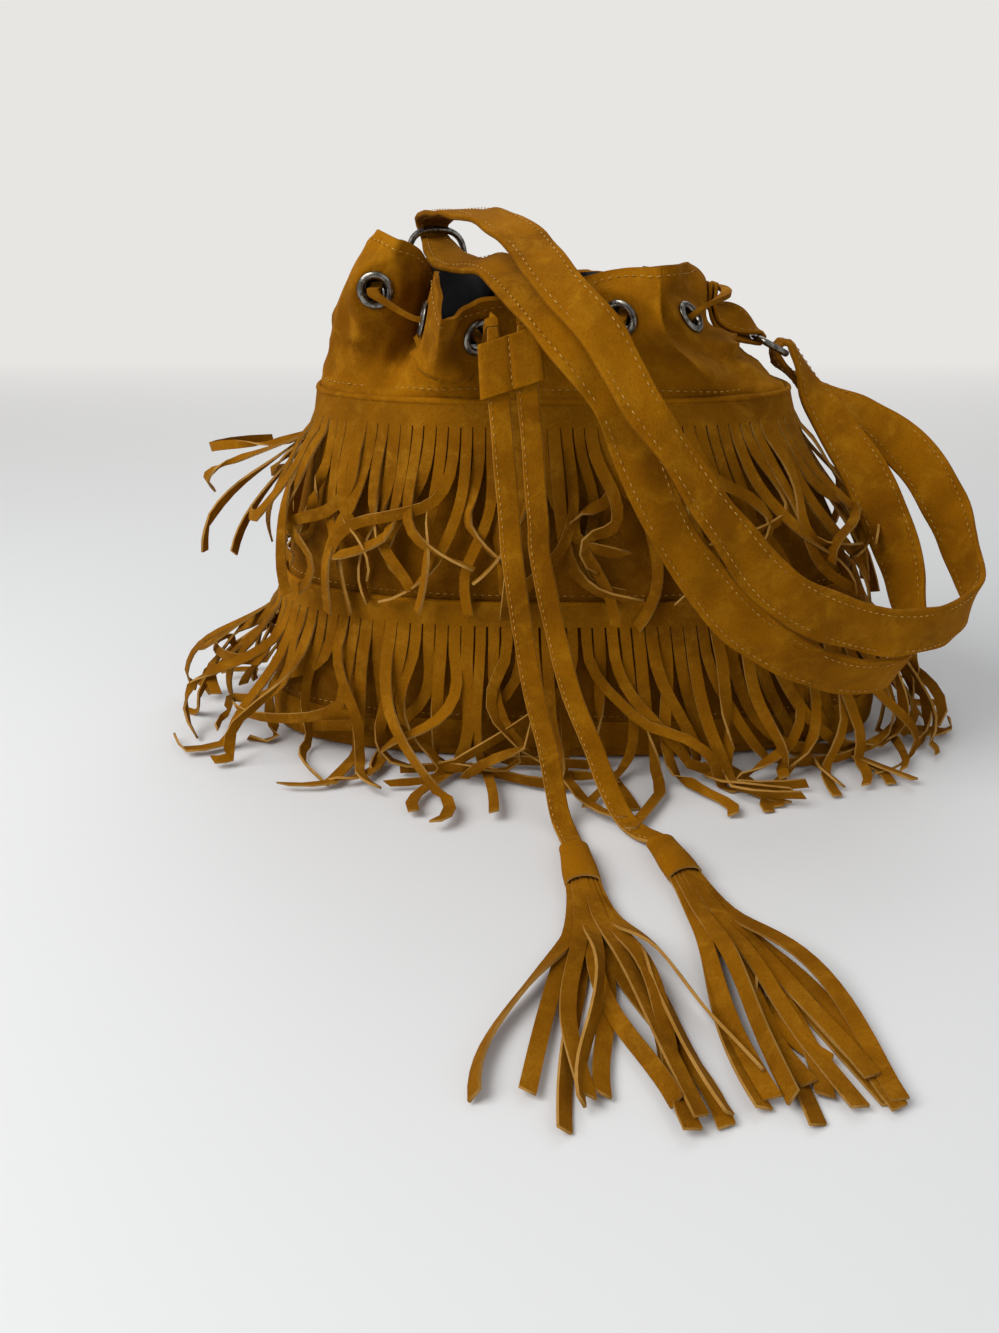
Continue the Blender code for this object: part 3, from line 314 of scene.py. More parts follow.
def thicken(piece, thickness, offset, rim=0, inner=0, rounding=0.0):
    wall = piece.modifiers.new("wall", "SOLIDIFY")
    wall.thickness, wall.offset = thickness, offset
    wall.use_even_offset = False
    wall.material_offset, wall.material_offset_rim = inner, rim
    if rounding:
        soft = piece.modifiers.new("roundedEdge", "BEVEL")
        soft.width, soft.segments = rounding, 2
        soft.limit_method, soft.angle_limit = "ANGLE", math.radians(50)
        soft.material = -1
    return piece


def layGrid(bm, columns, rows, where):
    # a grid whose corners run 0..1 both ways, put where the function says
    made = bmesh.ops.create_grid(bm, x_segments=columns, y_segments=rows, size=0.5)["verts"]
    for vert in made:
        vert.co = where(vert.co.x + 0.5, vert.co.y + 0.5)
    return made


def closeUp(bm, apart=0.00005):
    # joins a sheet's meeting edges and turns its faces outwards
    bmesh.ops.remove_doubles(bm, verts=bm.verts[:], dist=apart)
    bmesh.ops.recalc_face_normals(bm, faces=bm.faces[:])


def ripple(bm, size, depth, keep=None, seed=0.0, hold=None):
    # soft creases pushed along each vertex's normal
    bm.normal_update()
    shift = Vector((seed, seed * 0.7, -seed))
    for vert in bm.verts:
        spot = vert.co / size + shift
        much = noise.noise(spot) + 0.45 * noise.noise(spot * 2.3) - 0.5 * abs(noise.noise(spot * 1.4 + shift))
        vert.co += vert.normal * (much * depth * (keep(vert.co) if keep else 1.0) * (vert[hold][0] if hold else 1.0))


def curveThrough(points, t):
    a, b, c, d = points
    return 0.5 * ((2 * b) + (c - a) * t + (2 * a - 5 * b + 4 * c - d) * t ** 2 + (3 * b - a - 3 * c + d) * t ** 3)


def smooth(low, high, value):
    share = max(0.0, min(1.0, (value - low) / (high - low)))
    return share * share * (3 - 2 * share)


def readRoute(stations, spacing, closed=False):
    # a smooth curve through (place, facing, width share) stations
    count, found = len(stations), []
    for i in range(count if closed else count - 1):
        if closed:
            near = [stations[(i + k) % count] for k in (-1, 0, 1, 2)]
        else:
            near = [stations[max(0, min(count - 1, i + k))] for k in (-1, 0, 1, 2)]
        steps = max(1, round((near[2][0] - near[1][0]).length / spacing))
        for k in range(steps):
            found.append(tuple(curveThrough([s[part] for s in near], k / steps) for part in range(3)))
    found.append(stations[0] if closed else stations[-1])
    return found


def routeFrames(route, closed=False):
    # place, across, facing and share at each step
    frames, last = [], len(route) - 1
    for i, (spot, facing, share) in enumerate(route):
        before = route[i - 1][0] if i else (route[last - 1][0] if closed else spot)
        after = route[i + 1][0] if i < last else (route[1][0] if closed else spot)
        across = (after - before).cross(facing).normalized()
        frames.append((spot, across, across.cross(after - before).normalized(), share))
    return frames


def layRibbon(bm, frames, width, columns=4, wave=0.0, cup=0.0, seed=0.0):
    rows = len(frames) - 1

    def where(u, v):
        spot, across, facing, share = frames[min(rows, round(v * rows))]
        side = u - 0.5
        probe = spot * 55 + Vector((side * 1.6 + seed, seed, 0))
        crease = noise.noise(probe) * wave * (0.5 + 2 * side * side)
        edge = 1 + 0.10 * noise.noise(spot * 40 + Vector((seed + (7 if side > 0 else 0), 0, 0))) * (wave > 0)
        return spot + across * (side * width * share * edge) + facing * (crease + cup * (side * side * 4 - 0.4))

    return layGrid(bm, columns, rows, where)


stitchLook = {"length": 0.0025, "pitch": 0.0039, "half": 0.00030, "high": 0.00026}


def sewLine(bm, points, facings, length=None, pitch=None):
    # short raised stitches along a line of points
    length, pitch = length or stitchLook["length"], pitch or stitchLook["pitch"]
    ahead = pitch * 0.5
    for i in range(len(points) - 1):
        a, b = points[i], points[i + 1]
        span = (b - a).length
        if span < 1e-7:
            continue
        way = (b - a) / span
        while ahead <= span:
            face = facings[i].lerp(facings[i + 1], ahead / span).normalized()
            side = way.cross(face).normalized()
            face = side.cross(way)
            turn = Matrix((way * length / 2, side * stitchLook["half"], face * stitchLook["high"])).transposed()
            bmesh.ops.create_icosphere(bm, subdivisions=1, radius=1.0,
                                       matrix=Matrix.Translation(a + way * ahead) @ turn.to_4x4())
            ahead += pitch
        ahead -= span


# the bag's wall
wall = {"baseWidth": 0.185, "baseDepth": 0.066, "band": 0.028, "round": 0.008, "waist": 0.100, "waistWidth": 0.163,
        "waistDepth": 0.078, "shoulder": 0.200, "shoulderWidth": 0.125, "shoulderDepth": 0.062, "shift": -0.016,
        "suede": 0.0022, "baseSuede": 0.0026, "gap": 0.0003, "square": 2.5, "columns": 180, "rows": 22,
        "crease": 0.030}
tray = {"side": 0.55, "bend": 0.70, "rows": 40, "crease": 0.028}    # shares of the sheet up to the bend and the floor


def smoothThrough(values, spot):
    last = len(values) - 1
    i = max(0, min(last - 1, math.floor(spot)))
    return curveThrough([values[max(0, min(last, i + k))] for k in (-1, 0, 1, 2)], spot - i)


def section(height):
    levels = (0.0, wall["band"], wall["waist"], wall["shoulder"])
    seam = wall["band"] / wall["waist"]
    widths = (wall["baseWidth"], wall["baseWidth"] + (wall["waistWidth"] - wall["baseWidth"]) * seam * 0.5,
              wall["waistWidth"], wall["shoulderWidth"])
    depths = (wall["baseDepth"], wall["baseDepth"] + (wall["waistDepth"] - wall["baseDepth"]) * seam * 1.6,
              wall["waistDepth"], wall["shoulderDepth"])
    shifts = (0.0, 0.0, wall["shift"] * 0.3, wall["shift"])
    height = max(0.0, min(wall["shoulder"], height))
    i = max(k for k in range(3) if height >= levels[k])
    spot = i + (height - levels[i]) / (levels[i + 1] - levels[i])
    return tuple(smoothThrough(row, spot) for row in (shifts, widths, depths))


def wallPoint(turn, height, out=0.0):
    centre, halfWidth, halfDepth = section(height)
    angle = -math.pi / 2 - turn * tau
    c, s = math.cos(angle), math.sin(angle)
    power, bend = 2 / wall["square"], wall["square"] - 1
    x = halfWidth * math.copysign(abs(c) ** power, c)
    y = halfDepth * math.copysign(abs(s) ** power, s)
    normal = Vector((math.copysign(abs(x / halfWidth) ** bend, x) / halfWidth,
                     math.copysign(abs(y / halfDepth) ** bend, y) / halfDepth, 0.0)).normalized()
    return Vector((centre + x, y, height)) + normal * out, normal


def evenTurns(height, count):
    fine = 720
    points = [wallPoint(k / fine, height)[0] for k in range(fine + 1)]
    run = [0.0]
    for a, b in zip(points, points[1:]):
        run.append(run[-1] + (b - a).length)
    turns, k = [], 0
    for n in range(count):
        goal = run[-1] * n / count
        while run[k + 1] < goal:
            k += 1
        turns.append((k + (goal - run[k]) / (run[k + 1] - run[k])) / fine)
    return turns, run[-1]


waistTurns, waistRun = evenTurns(wall["waist"], 360)


def turnAt(share):
    # share of the way round, by length, to turn
    spot = (share % 1.0) * 360
    i = int(spot) % 360
    after = waistTurns[i + 1] if i < 359 else 1.0
    return waistTurns[i] + (after - waistTurns[i]) * (spot - int(spot))


def buildWall(name, low, high, look, stands, thickness, crease):
    bm = bmesh.new()
    layGrid(bm, wall["columns"], wall["rows"], lambda u, v: wallPoint(turnAt(u), low + (high - low) * v)[0])
    closeUp(bm)
    ripple(bm, wall["crease"], -crease,
           lambda spot: smooth(low, low + 0.012, spot.z) * smooth(high, high - 0.012, spot.z), 3.0)
    piece = place(name, bm, look, stands=stands, outward=Vector((0, -1, 0)))
    return thicken(piece, thickness, -1.0, rim=1)


def buildTray(name, top, inset, foot, corner, look, stands, thickness, crease):
    # side wall and closed floor in one sheet
    side, bend = tray["side"], tray["bend"]

    def where(u, v):
        turn = turnAt(u)
        if v < side:
            return wallPoint(turn, top + (foot + corner - top) * v / side, -inset)[0]
        if v < bend:
            angle = (v - side) / (bend - side) * math.pi / 2
            spot = wallPoint(turn, 0.0, -inset - corner * (1 - math.cos(angle)))[0]
            return Vector((spot.x, spot.y, foot + corner * (1 - math.sin(angle))))
        spot = wallPoint(turn, 0.0, -inset - corner)[0] * (1 - (v - bend) / (1 - bend))
        return Vector((spot.x, spot.y, foot))

    bm = bmesh.new()
    layGrid(bm, wall["columns"], tray["rows"], where)
    closeUp(bm)
    ripple(bm, tray["crease"], -crease,
           lambda spot: (smooth(foot + corner * 0.5, foot + corner * 2, spot.z)
                         * smooth(top, top - 0.006, spot.z)), 8.0)
    piece = place(name, bm, look, stands=stands, outward=Vector((0, -1, 0)))
    return thicken(piece, thickness, -1.0, rim=1 if len(look) > 1 else 0)


gap = wall["gap"]
buildTray("baseSkin", wall["band"] - gap, 0.0, 0.0, wall["round"], [suede, foldedEdge], ["base_panel"],
          wall["baseSuede"], 0.0008)
buildTray("innerLining", wall["shoulder"] - 2 * gap, wall["baseSuede"] + 3 * gap + 0.0012,
          wall["baseSuede"] + 0.0020 + 2 * gap, wall["round"], [blackLining], ["lining"], 0.0008, 0.0012)
# the walls behind the fringes wear the darker suede copy, painted shade between the strips
for name, low, high, stands, crease in (("lowerSkin", "band", "waist", ["lower_panel"], 0.0016),
                                        ("middleSkin", "waist", "shoulder", ["middle_panel"], 0.0018)):
    buildWall(name, wall[low] + gap / 2, wall[high] - gap / 2, [paintedShadeSuede, foldedEdge], stands,
              wall["suede"], crease)
print("walls built")

# the gathered mouth: seam share, x, y, rise at the eyelets, hem x, hem y, hem rise, seat
mouth = {"width": 0.100, "depth": 0.090, "shift": -0.025, "run": 0.045, "lap": 0.0010, "stand": 0.0035,
         "flat": 0.0125, "fade": 0.021, "tab": 0.018, "columns": 12, "rows": 34, "hemStitch": 0.0050,
         "lapStitch": 0.0062, "hole": 0.0066, "ripple": 0.019, "rippleDepth": 0.0021}
folds = (
    (0.000, 0.05, -0.40, 0.036, 0.05, -0.26, 0.050, 0), (0.030, -0.11, -0.66, 0.034, -0.15, -0.73, 0.049, 0),
    (0.065, -0.30, -0.74, 0.031, -0.34, -0.88, 0.044, 1), (0.095, -0.48, -0.92, 0.028, -0.46, -1.08, 0.041, 0),
    (0.120, -0.56, -0.64, 0.038, -0.51, -0.69, 0.060, 2), (0.140, -0.54, -0.16, 0.040, -0.50, -0.20, 0.053, 0),
    (0.162, -0.62, -0.41, 0.049, -0.585, -0.45, 0.069, 0), (0.190, -0.80, -0.55, 0.051, -0.69, -0.54, 0.074, 3),
    (0.222, -0.97, -0.42, 0.050, -0.79, -0.40, 0.078, 0), (0.252, -1.01, -0.12, 0.049, -0.80, -0.12, 0.076, 0),
    (0.300, -0.88, 0.14, 0.047, -0.73, 0.12, 0.070, 4), (0.350, -0.50, 0.10, 0.042, -0.50, 0.11, 0.058, -1),
    (0.415, -0.22, 0.42, 0.045, -0.20, 0.37, 0.061, 5), (0.485, 0.08, 0.74, 0.042, 0.06, 0.62, 0.058, 0),
    (0.540, 0.32, 0.56, 0.040, 0.29, 0.48, 0.0565, 6), (0.580, 0.44, 0.17, 0.041, 0.41, 0.13, 0.0565, 0),
    (0.630, 0.76, 0.40, 0.041, 0.66, 0.34, 0.058, 0), (0.700, 0.90, 0.08, 0.040, 0.79, 0.07, 0.061, -2),
    (0.780, 0.76, -0.37, 0.037, 0.68, -0.34, 0.062, 7), (0.815, 0.62, -0.56, 0.038, 0.60, -0.46, 0.061, 0),
    (0.865, 0.57, -0.95, 0.034, 0.55, -0.77, 0.062, 0), (0.915, 0.37, -0.78, 0.040, 0.37, -0.70, 0.0615, 8),
    (0.958, 0.21, -0.68, 0.038, 0.22, -0.61, 0.058, 0))
seamTurns = evenTurns(wall["shoulder"], 360)[0] + [1.0]


def foldColumn(index):
    fold = folds[index % len(folds)]
    low = int(fold[0] * 360)
    turn = seamTurns[low] + (seamTurns[low + 1] - seamTurns[low]) * (fold[0] * 360 - low)
    found = [wallPoint(turn, wall["shoulder"] - mouth["run"], mouth["lap"])[0],
             wallPoint(turn, wall["shoulder"], mouth["lap"])[0]]
    for x, y, rise in (fold[1:4], fold[4:7]):
        found.append(Vector((mouth["shift"] + x * mouth["width"], y * mouth["depth"], wall["shoulder"] + rise)))
    return found


foldColumns = [foldColumn(k) for k in range(len(folds))]
for k, aside in ((2, -0.012), (3, -0.008)):      # the right front pleat tucks in behind its neighbour
    foldColumns[19][k].x += aside
sharpFolds = {3: 0.8, 5: 0.5, 8: 0.8, 20: 0.85}  # folds pressed to an edge, where the leather is drawn thin
# creases where the leather buckles: from and to (fold, level), depth
creases = (((4.6, 0.66), (1.4, 0.30), 0.0085), ((21.6, 1.15), (21.0, 1.65), 0.0030),
           ((21.4, 0.62), (20.5, 0.92), 0.0028), ((18.6, 0.45), (17.3, 0.62), 0.0045),
           ((7.6, 0.50), (6.2, 0.42), 0.0018), ((2.6, 0.75), (1.2, 0.62), 0.0024),
           ((22.6, 0.62), (21.6, 0.42), 0.0036), ((14.6, 0.60), (12.2, 0.45), 0.0030))
# metres for one fold and one level, and how fast the ridge and the dip beside it die away
buckling = {"fold": 0.018, "level": 0.042, "ridge": 0.009, "valley": 0.007, "dip": 0.45}


def rawCollar(u, v):
    i = math.floor(u)
    columns = [foldColumns[(i + k) % len(folds)] for k in (-1, 0, 1, 2)]
    if v > 1.0:
        columns = [[column[1], column[2], column[3], column[3] * 2 - column[2]] for column in columns]
    spots = [curveThrough(column, v if v <= 1.0 else v - 1.0) for column in columns]
    t = u - i
    press = sharpFolds.get(i % len(folds), 0) * (1 - t) + sharpFolds.get((i + 1) % len(folds), 0) * t
    return curveThrough(spots, t).lerp(spots[1].lerp(spots[2], t), press)


def rawNormal(u, v):
    step = 0.02
    along = rawCollar(u + step, v) - rawCollar(u - step, v)
    rise = rawCollar(u, min(2.0, v + step)) - rawCollar(u, v - step)
    return rise.cross(along).normalized()


eyeletFolds = [next(i for i, fold in enumerate(folds) if fold[7] == n + 1) for n in range(8)]
eyeletPlaces = [(rawCollar(i, 1.0), rawNormal(i, 1.0)) for i in eyeletFolds]
tabFolds = {"left": 11, "right": 17}
tabPlaces = {hand: (rawCollar(i, 1.0), Vector((*rawNormal(i, 1.0).xy, 0.0)).normalized())
             for hand, i in tabFolds.items()}
flatSeats = [(i, seat, mouth["flat"], mouth["fade"]) for i, seat in zip(eyeletFolds, eyeletPlaces)]
flatSeats += [(tabFolds[hand], tabPlaces[hand], 0.8 * mouth["tab"], 1.4 * mouth["tab"]) for hand in tabFolds]


def buckle(u, v):
    # how far the leather stands out beside its creases
    much = 0.0
    for start, end, depth in creases:
        run = Vector(((end[0] - start[0]) * buckling["fold"], (end[1] - start[1]) * buckling["level"]))
        here = Vector(((u - start[0]) * buckling["fold"], (v - start[1]) * buckling["level"]))
        along = here.dot(run) / run.length_squared
        if not -0.15 < along < 1.15:
            continue
        aside = (run.x * here.y - run.y * here.x) / run.length * (-1 if run.x < 0 else 1)
        if aside > 0:
            fall = math.exp(-aside / buckling["ridge"])
        else:
            fall = -buckling["dip"] * math.exp(aside / buckling["valley"])
        much += depth * fall * smooth(-0.15, 0.3, along) * smooth(1.15, 0.7, along)
    return much


def collarPoint(u, v):
    spot = rawCollar(u, v)
    stand = buckle(u % len(folds), v)
    if abs(stand) > 0.00005:
        spot = spot + rawNormal(u, v) * stand
    for index, (centre, normal), flat, fade in flatSeats:
        apart = abs((u - index + len(folds) / 2) % len(folds) - len(folds) / 2)
        if apart > 1.5:
            continue
        hold = 1.0 - smooth(flat, fade, (spot - centre).length)
        hold *= max(0.0, min(1.0, 3.0 - 2 * apart))
        spot = spot - normal * ((spot - centre).dot(normal) * hold)
    return spot


def nearSeat(spot):
    return min((spot - centre).length for centre, _ in eyeletPlaces + list(tabPlaces.values()))


def buildCollar():
    count = len(folds)
    bm = bmesh.new()
    weights, full = bm.verts.layers.deform.verify(), []

    def where(u, v):
        level = 2.0 * v
        full.append(min(smooth(0.08, 0.42, abs((u * count - k + count / 2) % count - count / 2)) for k in sharpFolds))
        spot = collarPoint(u * count, level)
        if level < 0.1:
            spot.z += gap + (mouth["stand"] if v > 0 else 0.0) * (1 - level / 0.1)
        return spot

    made = layGrid(bm, count * mouth["columns"], mouth["rows"], where)
    for vert, share in zip(made, full):
        vert[weights][0] = share
    closeUp(bm)
    ripple(bm, mouth["ripple"], mouth["rippleDepth"],
           lambda spot: smooth(0.010, 0.020, nearSeat(spot)) * smooth(0.201, 0.209, spot.z), 1.0, weights)
    for centre, _ in eyeletPlaces:               # openings under the eyelets' flanges
        hit = [face for face in bm.faces if (face.calc_center_median() - centre).length < mouth["hole"]]
        bmesh.ops.delete(bm, geom=hit, context="FACES")
    piece = place("collarSkin", bm, [suede, blackLining, foldedEdge], stands=["collar"], outward=Vector((0, -1, 0)))
    piece.vertex_groups.new(name="full")
    thicken(piece, wall["suede"], -1.0, rim=2, inner=1)
    piece.modifiers["wall"].vertex_group, piece.modifiers["wall"].thickness_vertex_group = "full", 0.3
    # stitched hem, and the lap over the shoulder seam
    bm = bmesh.new()
    steps = count * 16
    for level in (2.0, 0.0):
        points, facings = [], []
        for k in range(steps + 1):
            u = k / 16
            if level:
                top, under = collarPoint(u, 2.0), collarPoint(u, 1.6)
                spot = top + (under - top).normalized() * mouth["hemStitch"]
                face = rawNormal(u, 1.9)
            else:
                low, high = collarPoint(u, 0.0), collarPoint(u, 0.3)
                spot = low + (high - low).normalized() * mouth["lapStitch"]
                face = rawNormal(u, 0.1)
            points.append(spot + face * 0.0002)
            facings.append(face)
        sewLine(bm, points, facings)
    place("collarStitches", bm, [thread])


buildCollar()
print("collar built")

# eyelets, turned from one profile
eyelet = {"bore": 0.0052, "barrel": 0.0060, "flange": 0.0090, "crown": 0.0024, "seat": 0.0009, "washer": 0.0009,
          "roll": 0.0009, "sides": 40}


def buildEyelets():
    bore, barrel, flange, crown, seat = (eyelet[k] for k in ("bore", "barrel", "flange", "crown", "seat"))
    end = -wall["suede"] - 2 * gap - eyelet["washer"] - gap
    outline = [(bore, end), (bore, crown * 0.30), (bore + 0.0005, crown * 0.72), (bore + 0.0013, crown * 0.97),
               (0.5 * (bore + flange) + 0.0002, crown), (flange - 0.0010, crown * 0.86),
               (flange - 0.0003, crown * 0.62), (flange, seat + 0.0002),
               (flange - 0.0002, seat - 0.0001), (barrel, seat - 0.0001), (barrel, end),
               (barrel + eyelet["roll"], end - 0.0002), (barrel + eyelet["roll"] * 0.6, end - eyelet["roll"])]
    for n, (centre, normal) in enumerate(eyeletPlaces):
        bm = bmesh.new()
        verts = [bm.verts.new((radius, 0, height)) for radius, height in outline]
        edges = [bm.edges.new(pair) for pair in zip(verts, verts[1:] + verts[:1])]
        bmesh.ops.spin(bm, geom=verts + edges, cent=(0, 0, 0), axis=(0, 0, 1), angle=tau, steps=eyelet["sides"],
                       use_merge=True)
        closeUp(bm, 0.00001)
        bmesh.ops.transform(bm, verts=bm.verts[:],
                            matrix=Matrix.Translation(centre) @ normal.to_track_quat("Z", "Y").to_matrix().to_4x4())
        place(f"eyeletRing{n + 1}", bm, [nickel], stands=[f"eyelet_{n + 1}"])
        washer = nodes[f"eyelet_washer_{n + 1}"]
        washer.data.materials.clear()
        washer.data.materials.append(nickel)


buildEyelets()
nodes["base_board"].data.materials.clear()
nodes["base_board"].data.materials.append(greyBoard)
print("eyelets turned")

# fringes: a sewn band whose lower part is cut into strips
upperFringe = {"seam": 0.200, "band": 0.012, "strips": 104, "length": 0.104, "spread": 0.022, "width": 0.0059,
               "thickness": 0.0013, "start": 0.0026, "seed": 11, "lean": 18, "sway": 52, "lift": 11, "twist": 40,
               "wild": 0.58, "kink": 50, "fly": [(0.25, 0.050, 0.85, 60, 0.120), (0.75, 0.030, 0.20, 14, 0.105)],
               "steps": 14, "sides": ((0.25, 0.07, 0.078), (0.75, 0.07, 0.024)), "frontShare": 0.24,
               "front": 0.015, "rear": 0.030}
lowerFringe = {"seam": 0.100, "band": 0.012, "strips": 122, "length": 0.144, "spread": 0.040, "width": 0.0062,
               "thickness": 0.0013, "start": 0.0026, "seed": 23, "lean": 19, "sway": 44, "lift": 17, "twist": 38,
               "wild": 0.55, "kink": 46, "fly": [(0.25, 0.055, 0.75, 40, 0.125), (0.75, 0.050, 0.55, 30, 0.118)],
               "steps": 14, "sides": ((0.25, 0.08, 0.060), (0.75, 0.07, 0.046)), "frontShare": 0.2,
               "front": 0.078, "rear": 0.034}


def farthest(kit, share):
    # how far out a strip may lie at this place round the bag
    for centre, reach, most in kit["sides"]:
        if abs(share - centre) < reach:
            return most
    return kit["front"] if min(share, 1 - share) < kit["frontShare"] else kit["rear"]


def stripShape(kit, share, dice):
    # the chances that give one strip its own hang
    wild = dice.random() < kit["wild"]
    aside = 9 if share < 0.3 else -5 if share > 0.7 else 0    # the bag's front strips fall away from its middle
    shape = {"lean": dice.gauss(aside, kit["lean"]), "sway": dice.gauss(0, kit["sway"]) * (1.7 if wild else 0.8),
             "rate": dice.uniform(0.5, 1.25), "phase": dice.uniform(0, tau), "lift": abs(dice.gauss(0, kit["lift"])),
             "twist": dice.gauss(0, kit["twist"]) * (3.2 if wild else 0.9), "twistAt": dice.uniform(0.15, 0.6),
             "layer": dice.choice((0.0, 0.0014, 0.0030, 0.0046, 0.0075)), "fly": 0.0,
             "kink": dice.gauss(0, kit["kink"]) if dice.random() < 0.5 else 0.0,
             "kinkAt": dice.uniform(0.25, 0.8), "cut": dice.uniform(-0.25, 0.25),
             "curl": dice.gauss(0, 38) if dice.random() < 0.45 else dice.gauss(0, 12),
             "length": kit["length"] - kit["spread"] * dice.random() ** 1.6,
             "width": kit["width"] * dice.uniform(0.86, 1.06)}
    for centre, reach, chance, angle, longest in kit["fly"]:
        near = 1 - abs(share - centre) / reach
        if near > 0 and dice.random() < chance:
            shape["fly"] = angle * dice.uniform(0.45, 1.1) * min(1.0, near * 2.2)
            shape["length"] = longest * dice.uniform(0.72, 1.0)
            shape["sway"] *= 0.8
    return shape


def hangStrip(kit, share, shape):
    # walks down a strip; gives place and across at each step
    found, height, out = [], kit["seam"] - kit["band"], kit["start"]
    steps, most = kit["steps"], farthest(kit, share)
    pace, ground, aside = shape["length"] / steps, kit["thickness"] * 0.5 + 0.0006, share
    for k in range(steps + 1):
        t = k / steps
        lean = math.radians(shape["lean"] * smooth(0, 0.45, t) + shape["curl"] * t ** 2.2
                            + shape["sway"] * t * math.sin(shape["phase"] + tau * shape["rate"] * t)
                            + shape["kink"] * smooth(shape["kinkAt"], shape["kinkAt"] + 0.10, t))
        lean = max(-1.35, min(1.35, lean)) * smooth(0.0, 0.14, t)
        fly = math.radians(shape["fly"]) * (smooth(0, 0.16, t) - 1.1 * smooth(0.40, 1.0, t))
        lift = math.radians(shape["lift"]) * math.sin(tau * t * 0.62) + fly
        twist = math.radians(shape["twist"]) * smooth(shape["twistAt"], shape["twistAt"] + 0.4, t)
        least = kit["start"] + shape["layer"] * smooth(0.02, 0.2, t) + abs(math.sin(twist)) * shape["width"] * 0.5
        spot, normal = wallPoint(turnAt(aside), height, max(out, least))
        along = Vector((normal.y, -normal.x, 0.0))
        flat = along * math.cos(lean) + up * math.sin(lean) * (1 if height > 0.004 else 0)
        resting = smooth(0.012, 0.002, height)
        face = normal.lerp(up, resting).normalized()
        across = (flat * math.cos(twist) + face * math.sin(twist) * (1 - 0.8 * resting)).normalized()
        spot.z = max(spot.z, ground + shape["layer"] * 0.7 + abs(across.z) * shape["width"] * 0.5)
        found.append((spot, across))
        down = pace * math.cos(lift) * math.cos(lean)
        aside += pace * math.cos(lift) * math.sin(lean) / waistRun
        out = min(max(out, least) + pace * math.sin(lift), most)
        if height - down < ground:
            out = min(out + (down - max(0.0, height - ground)) * 0.92, most)
            height = ground
        else:
            height -= down
    return found


def layStrip(bm, route, width, cut):
    last = len(route) - 1

    def where(u, v):
        spot, across = route[min(last, round(v * last))]
        side = u - 0.5
        if v > 0.999:                            # the scissors' slanting cut
            spot = spot + (route[last][0] - route[last - 1][0]).normalized() * (side * width * cut)
        return spot + across * (side * width)

    layGrid(bm, 2, last, where)


def buildFringe(name, kit, stands):
    dice = random.Random(kit["seed"])
    bm = bmesh.new()
    for n in range(kit["strips"]):
        share = (n + 0.5) / kit["strips"]
        shape = stripShape(kit, share, dice)
        layStrip(bm, hangStrip(kit, share, shape), shape["width"], shape["cut"])
    strips = place(name, bm, [fringeSuede, cutEdge], stands=stands)
    thicken(strips, kit["thickness"], 0.0, rim=1)
    bm = bmesh.new()
    top, foot = kit["seam"] - gap, kit["seam"] - kit["band"]
    layGrid(bm, 200, 5, lambda u, v: wallPoint(turnAt(u), foot + (top - foot) * v, kit["start"])[0])
    band = place(name + "Band", bm, [fringeSuede, cutEdge], merge=0.00005, outward=Vector((0, -1, 0)))
    thicken(band, kit["thickness"], 0.0)


buildFringe("upperStrips", upperFringe, ["fringe_upper"])
buildFringe("lowerStrips", lowerFringe, ["fringe_lower"])


def seamStitches():
    bm = bmesh.new()
    for height, out in ((wall["waist"] + 0.0042, 0.0004), (wall["band"] + 0.0035, 0.0004)):
        ring = [wallPoint(turnAt(k / 240), height, out) for k in range(241)]
        sewLine(bm, [spot for spot, _ in ring], [normal for _, normal in ring])
    place("wallStitches", bm, [thread])
    for name, level, out, radius in (("waistRoll", wall["waist"], 0.0018, 0.0015),
                                     ("shoulderRoll", wall["shoulder"], 0.0022, 0.0017)):
        bm = bmesh.new()                         # the rolled edge at each seam

        def where(u, v):
            angle = tau * v
            fat = radius * (1 + 0.18 * noise.noise(Vector((math.cos(tau * u), math.sin(tau * u), level)) * 6))
            centre, normal = wallPoint(turnAt(u), level, out)
            return centre + normal * (fat * math.cos(angle)) + up * (fat * math.sin(angle))

        layGrid(bm, 240, 10, where)
        place(name, bm, [suede], merge=0.00005, outward=Vector((0, -1, 0)))


seamStitches()
print("fringes cut")

# drawstring, keeper, cord ends and tassels
cords = {"laceWidth": 0.0052, "laceThickness": 0.0024, "tailWidth": 0.0105, "tailThickness": 0.0026,
         "keeperHeight": 0.024, "keeperWall": 0.0018, "clearance": 0.0005, "travel": 0.080,
         "sleeve": 0.028, "sleeveWidth": 0.0080, "sleeveHigh": 0.0052, "sleeveSuede": 0.0011}
strandLook = {"count": 13, "length": 0.146, "width": 0.0066, "thickness": 0.0013, "steps": 22}
keeperLook = {"square": 0.38, "pinch": 0.10, "flare": 0.10, "apart": 0.0010, "slant": 0.22}
keeperCentre = Vector((-0.040, -0.096, 0.223))
keeperDown = Vector((0.090, -0.085, -0.990)).normalized()
keeperAcross = (Vector((1, 0, 0)) - keeperDown * keeperDown.x).normalized()
keeperFront = keeperAcross.cross(keeperDown).normalized()
keeperFront = -keeperFront if keeperFront.y > 0 else keeperFront
slotWidth, slotDepth = cords["tailWidth"] + 2 * cords["clearance"], cords["tailThickness"] + 2 * cords["clearance"]
loopPitch = slotWidth + 1.1 * cords["keeperWall"]
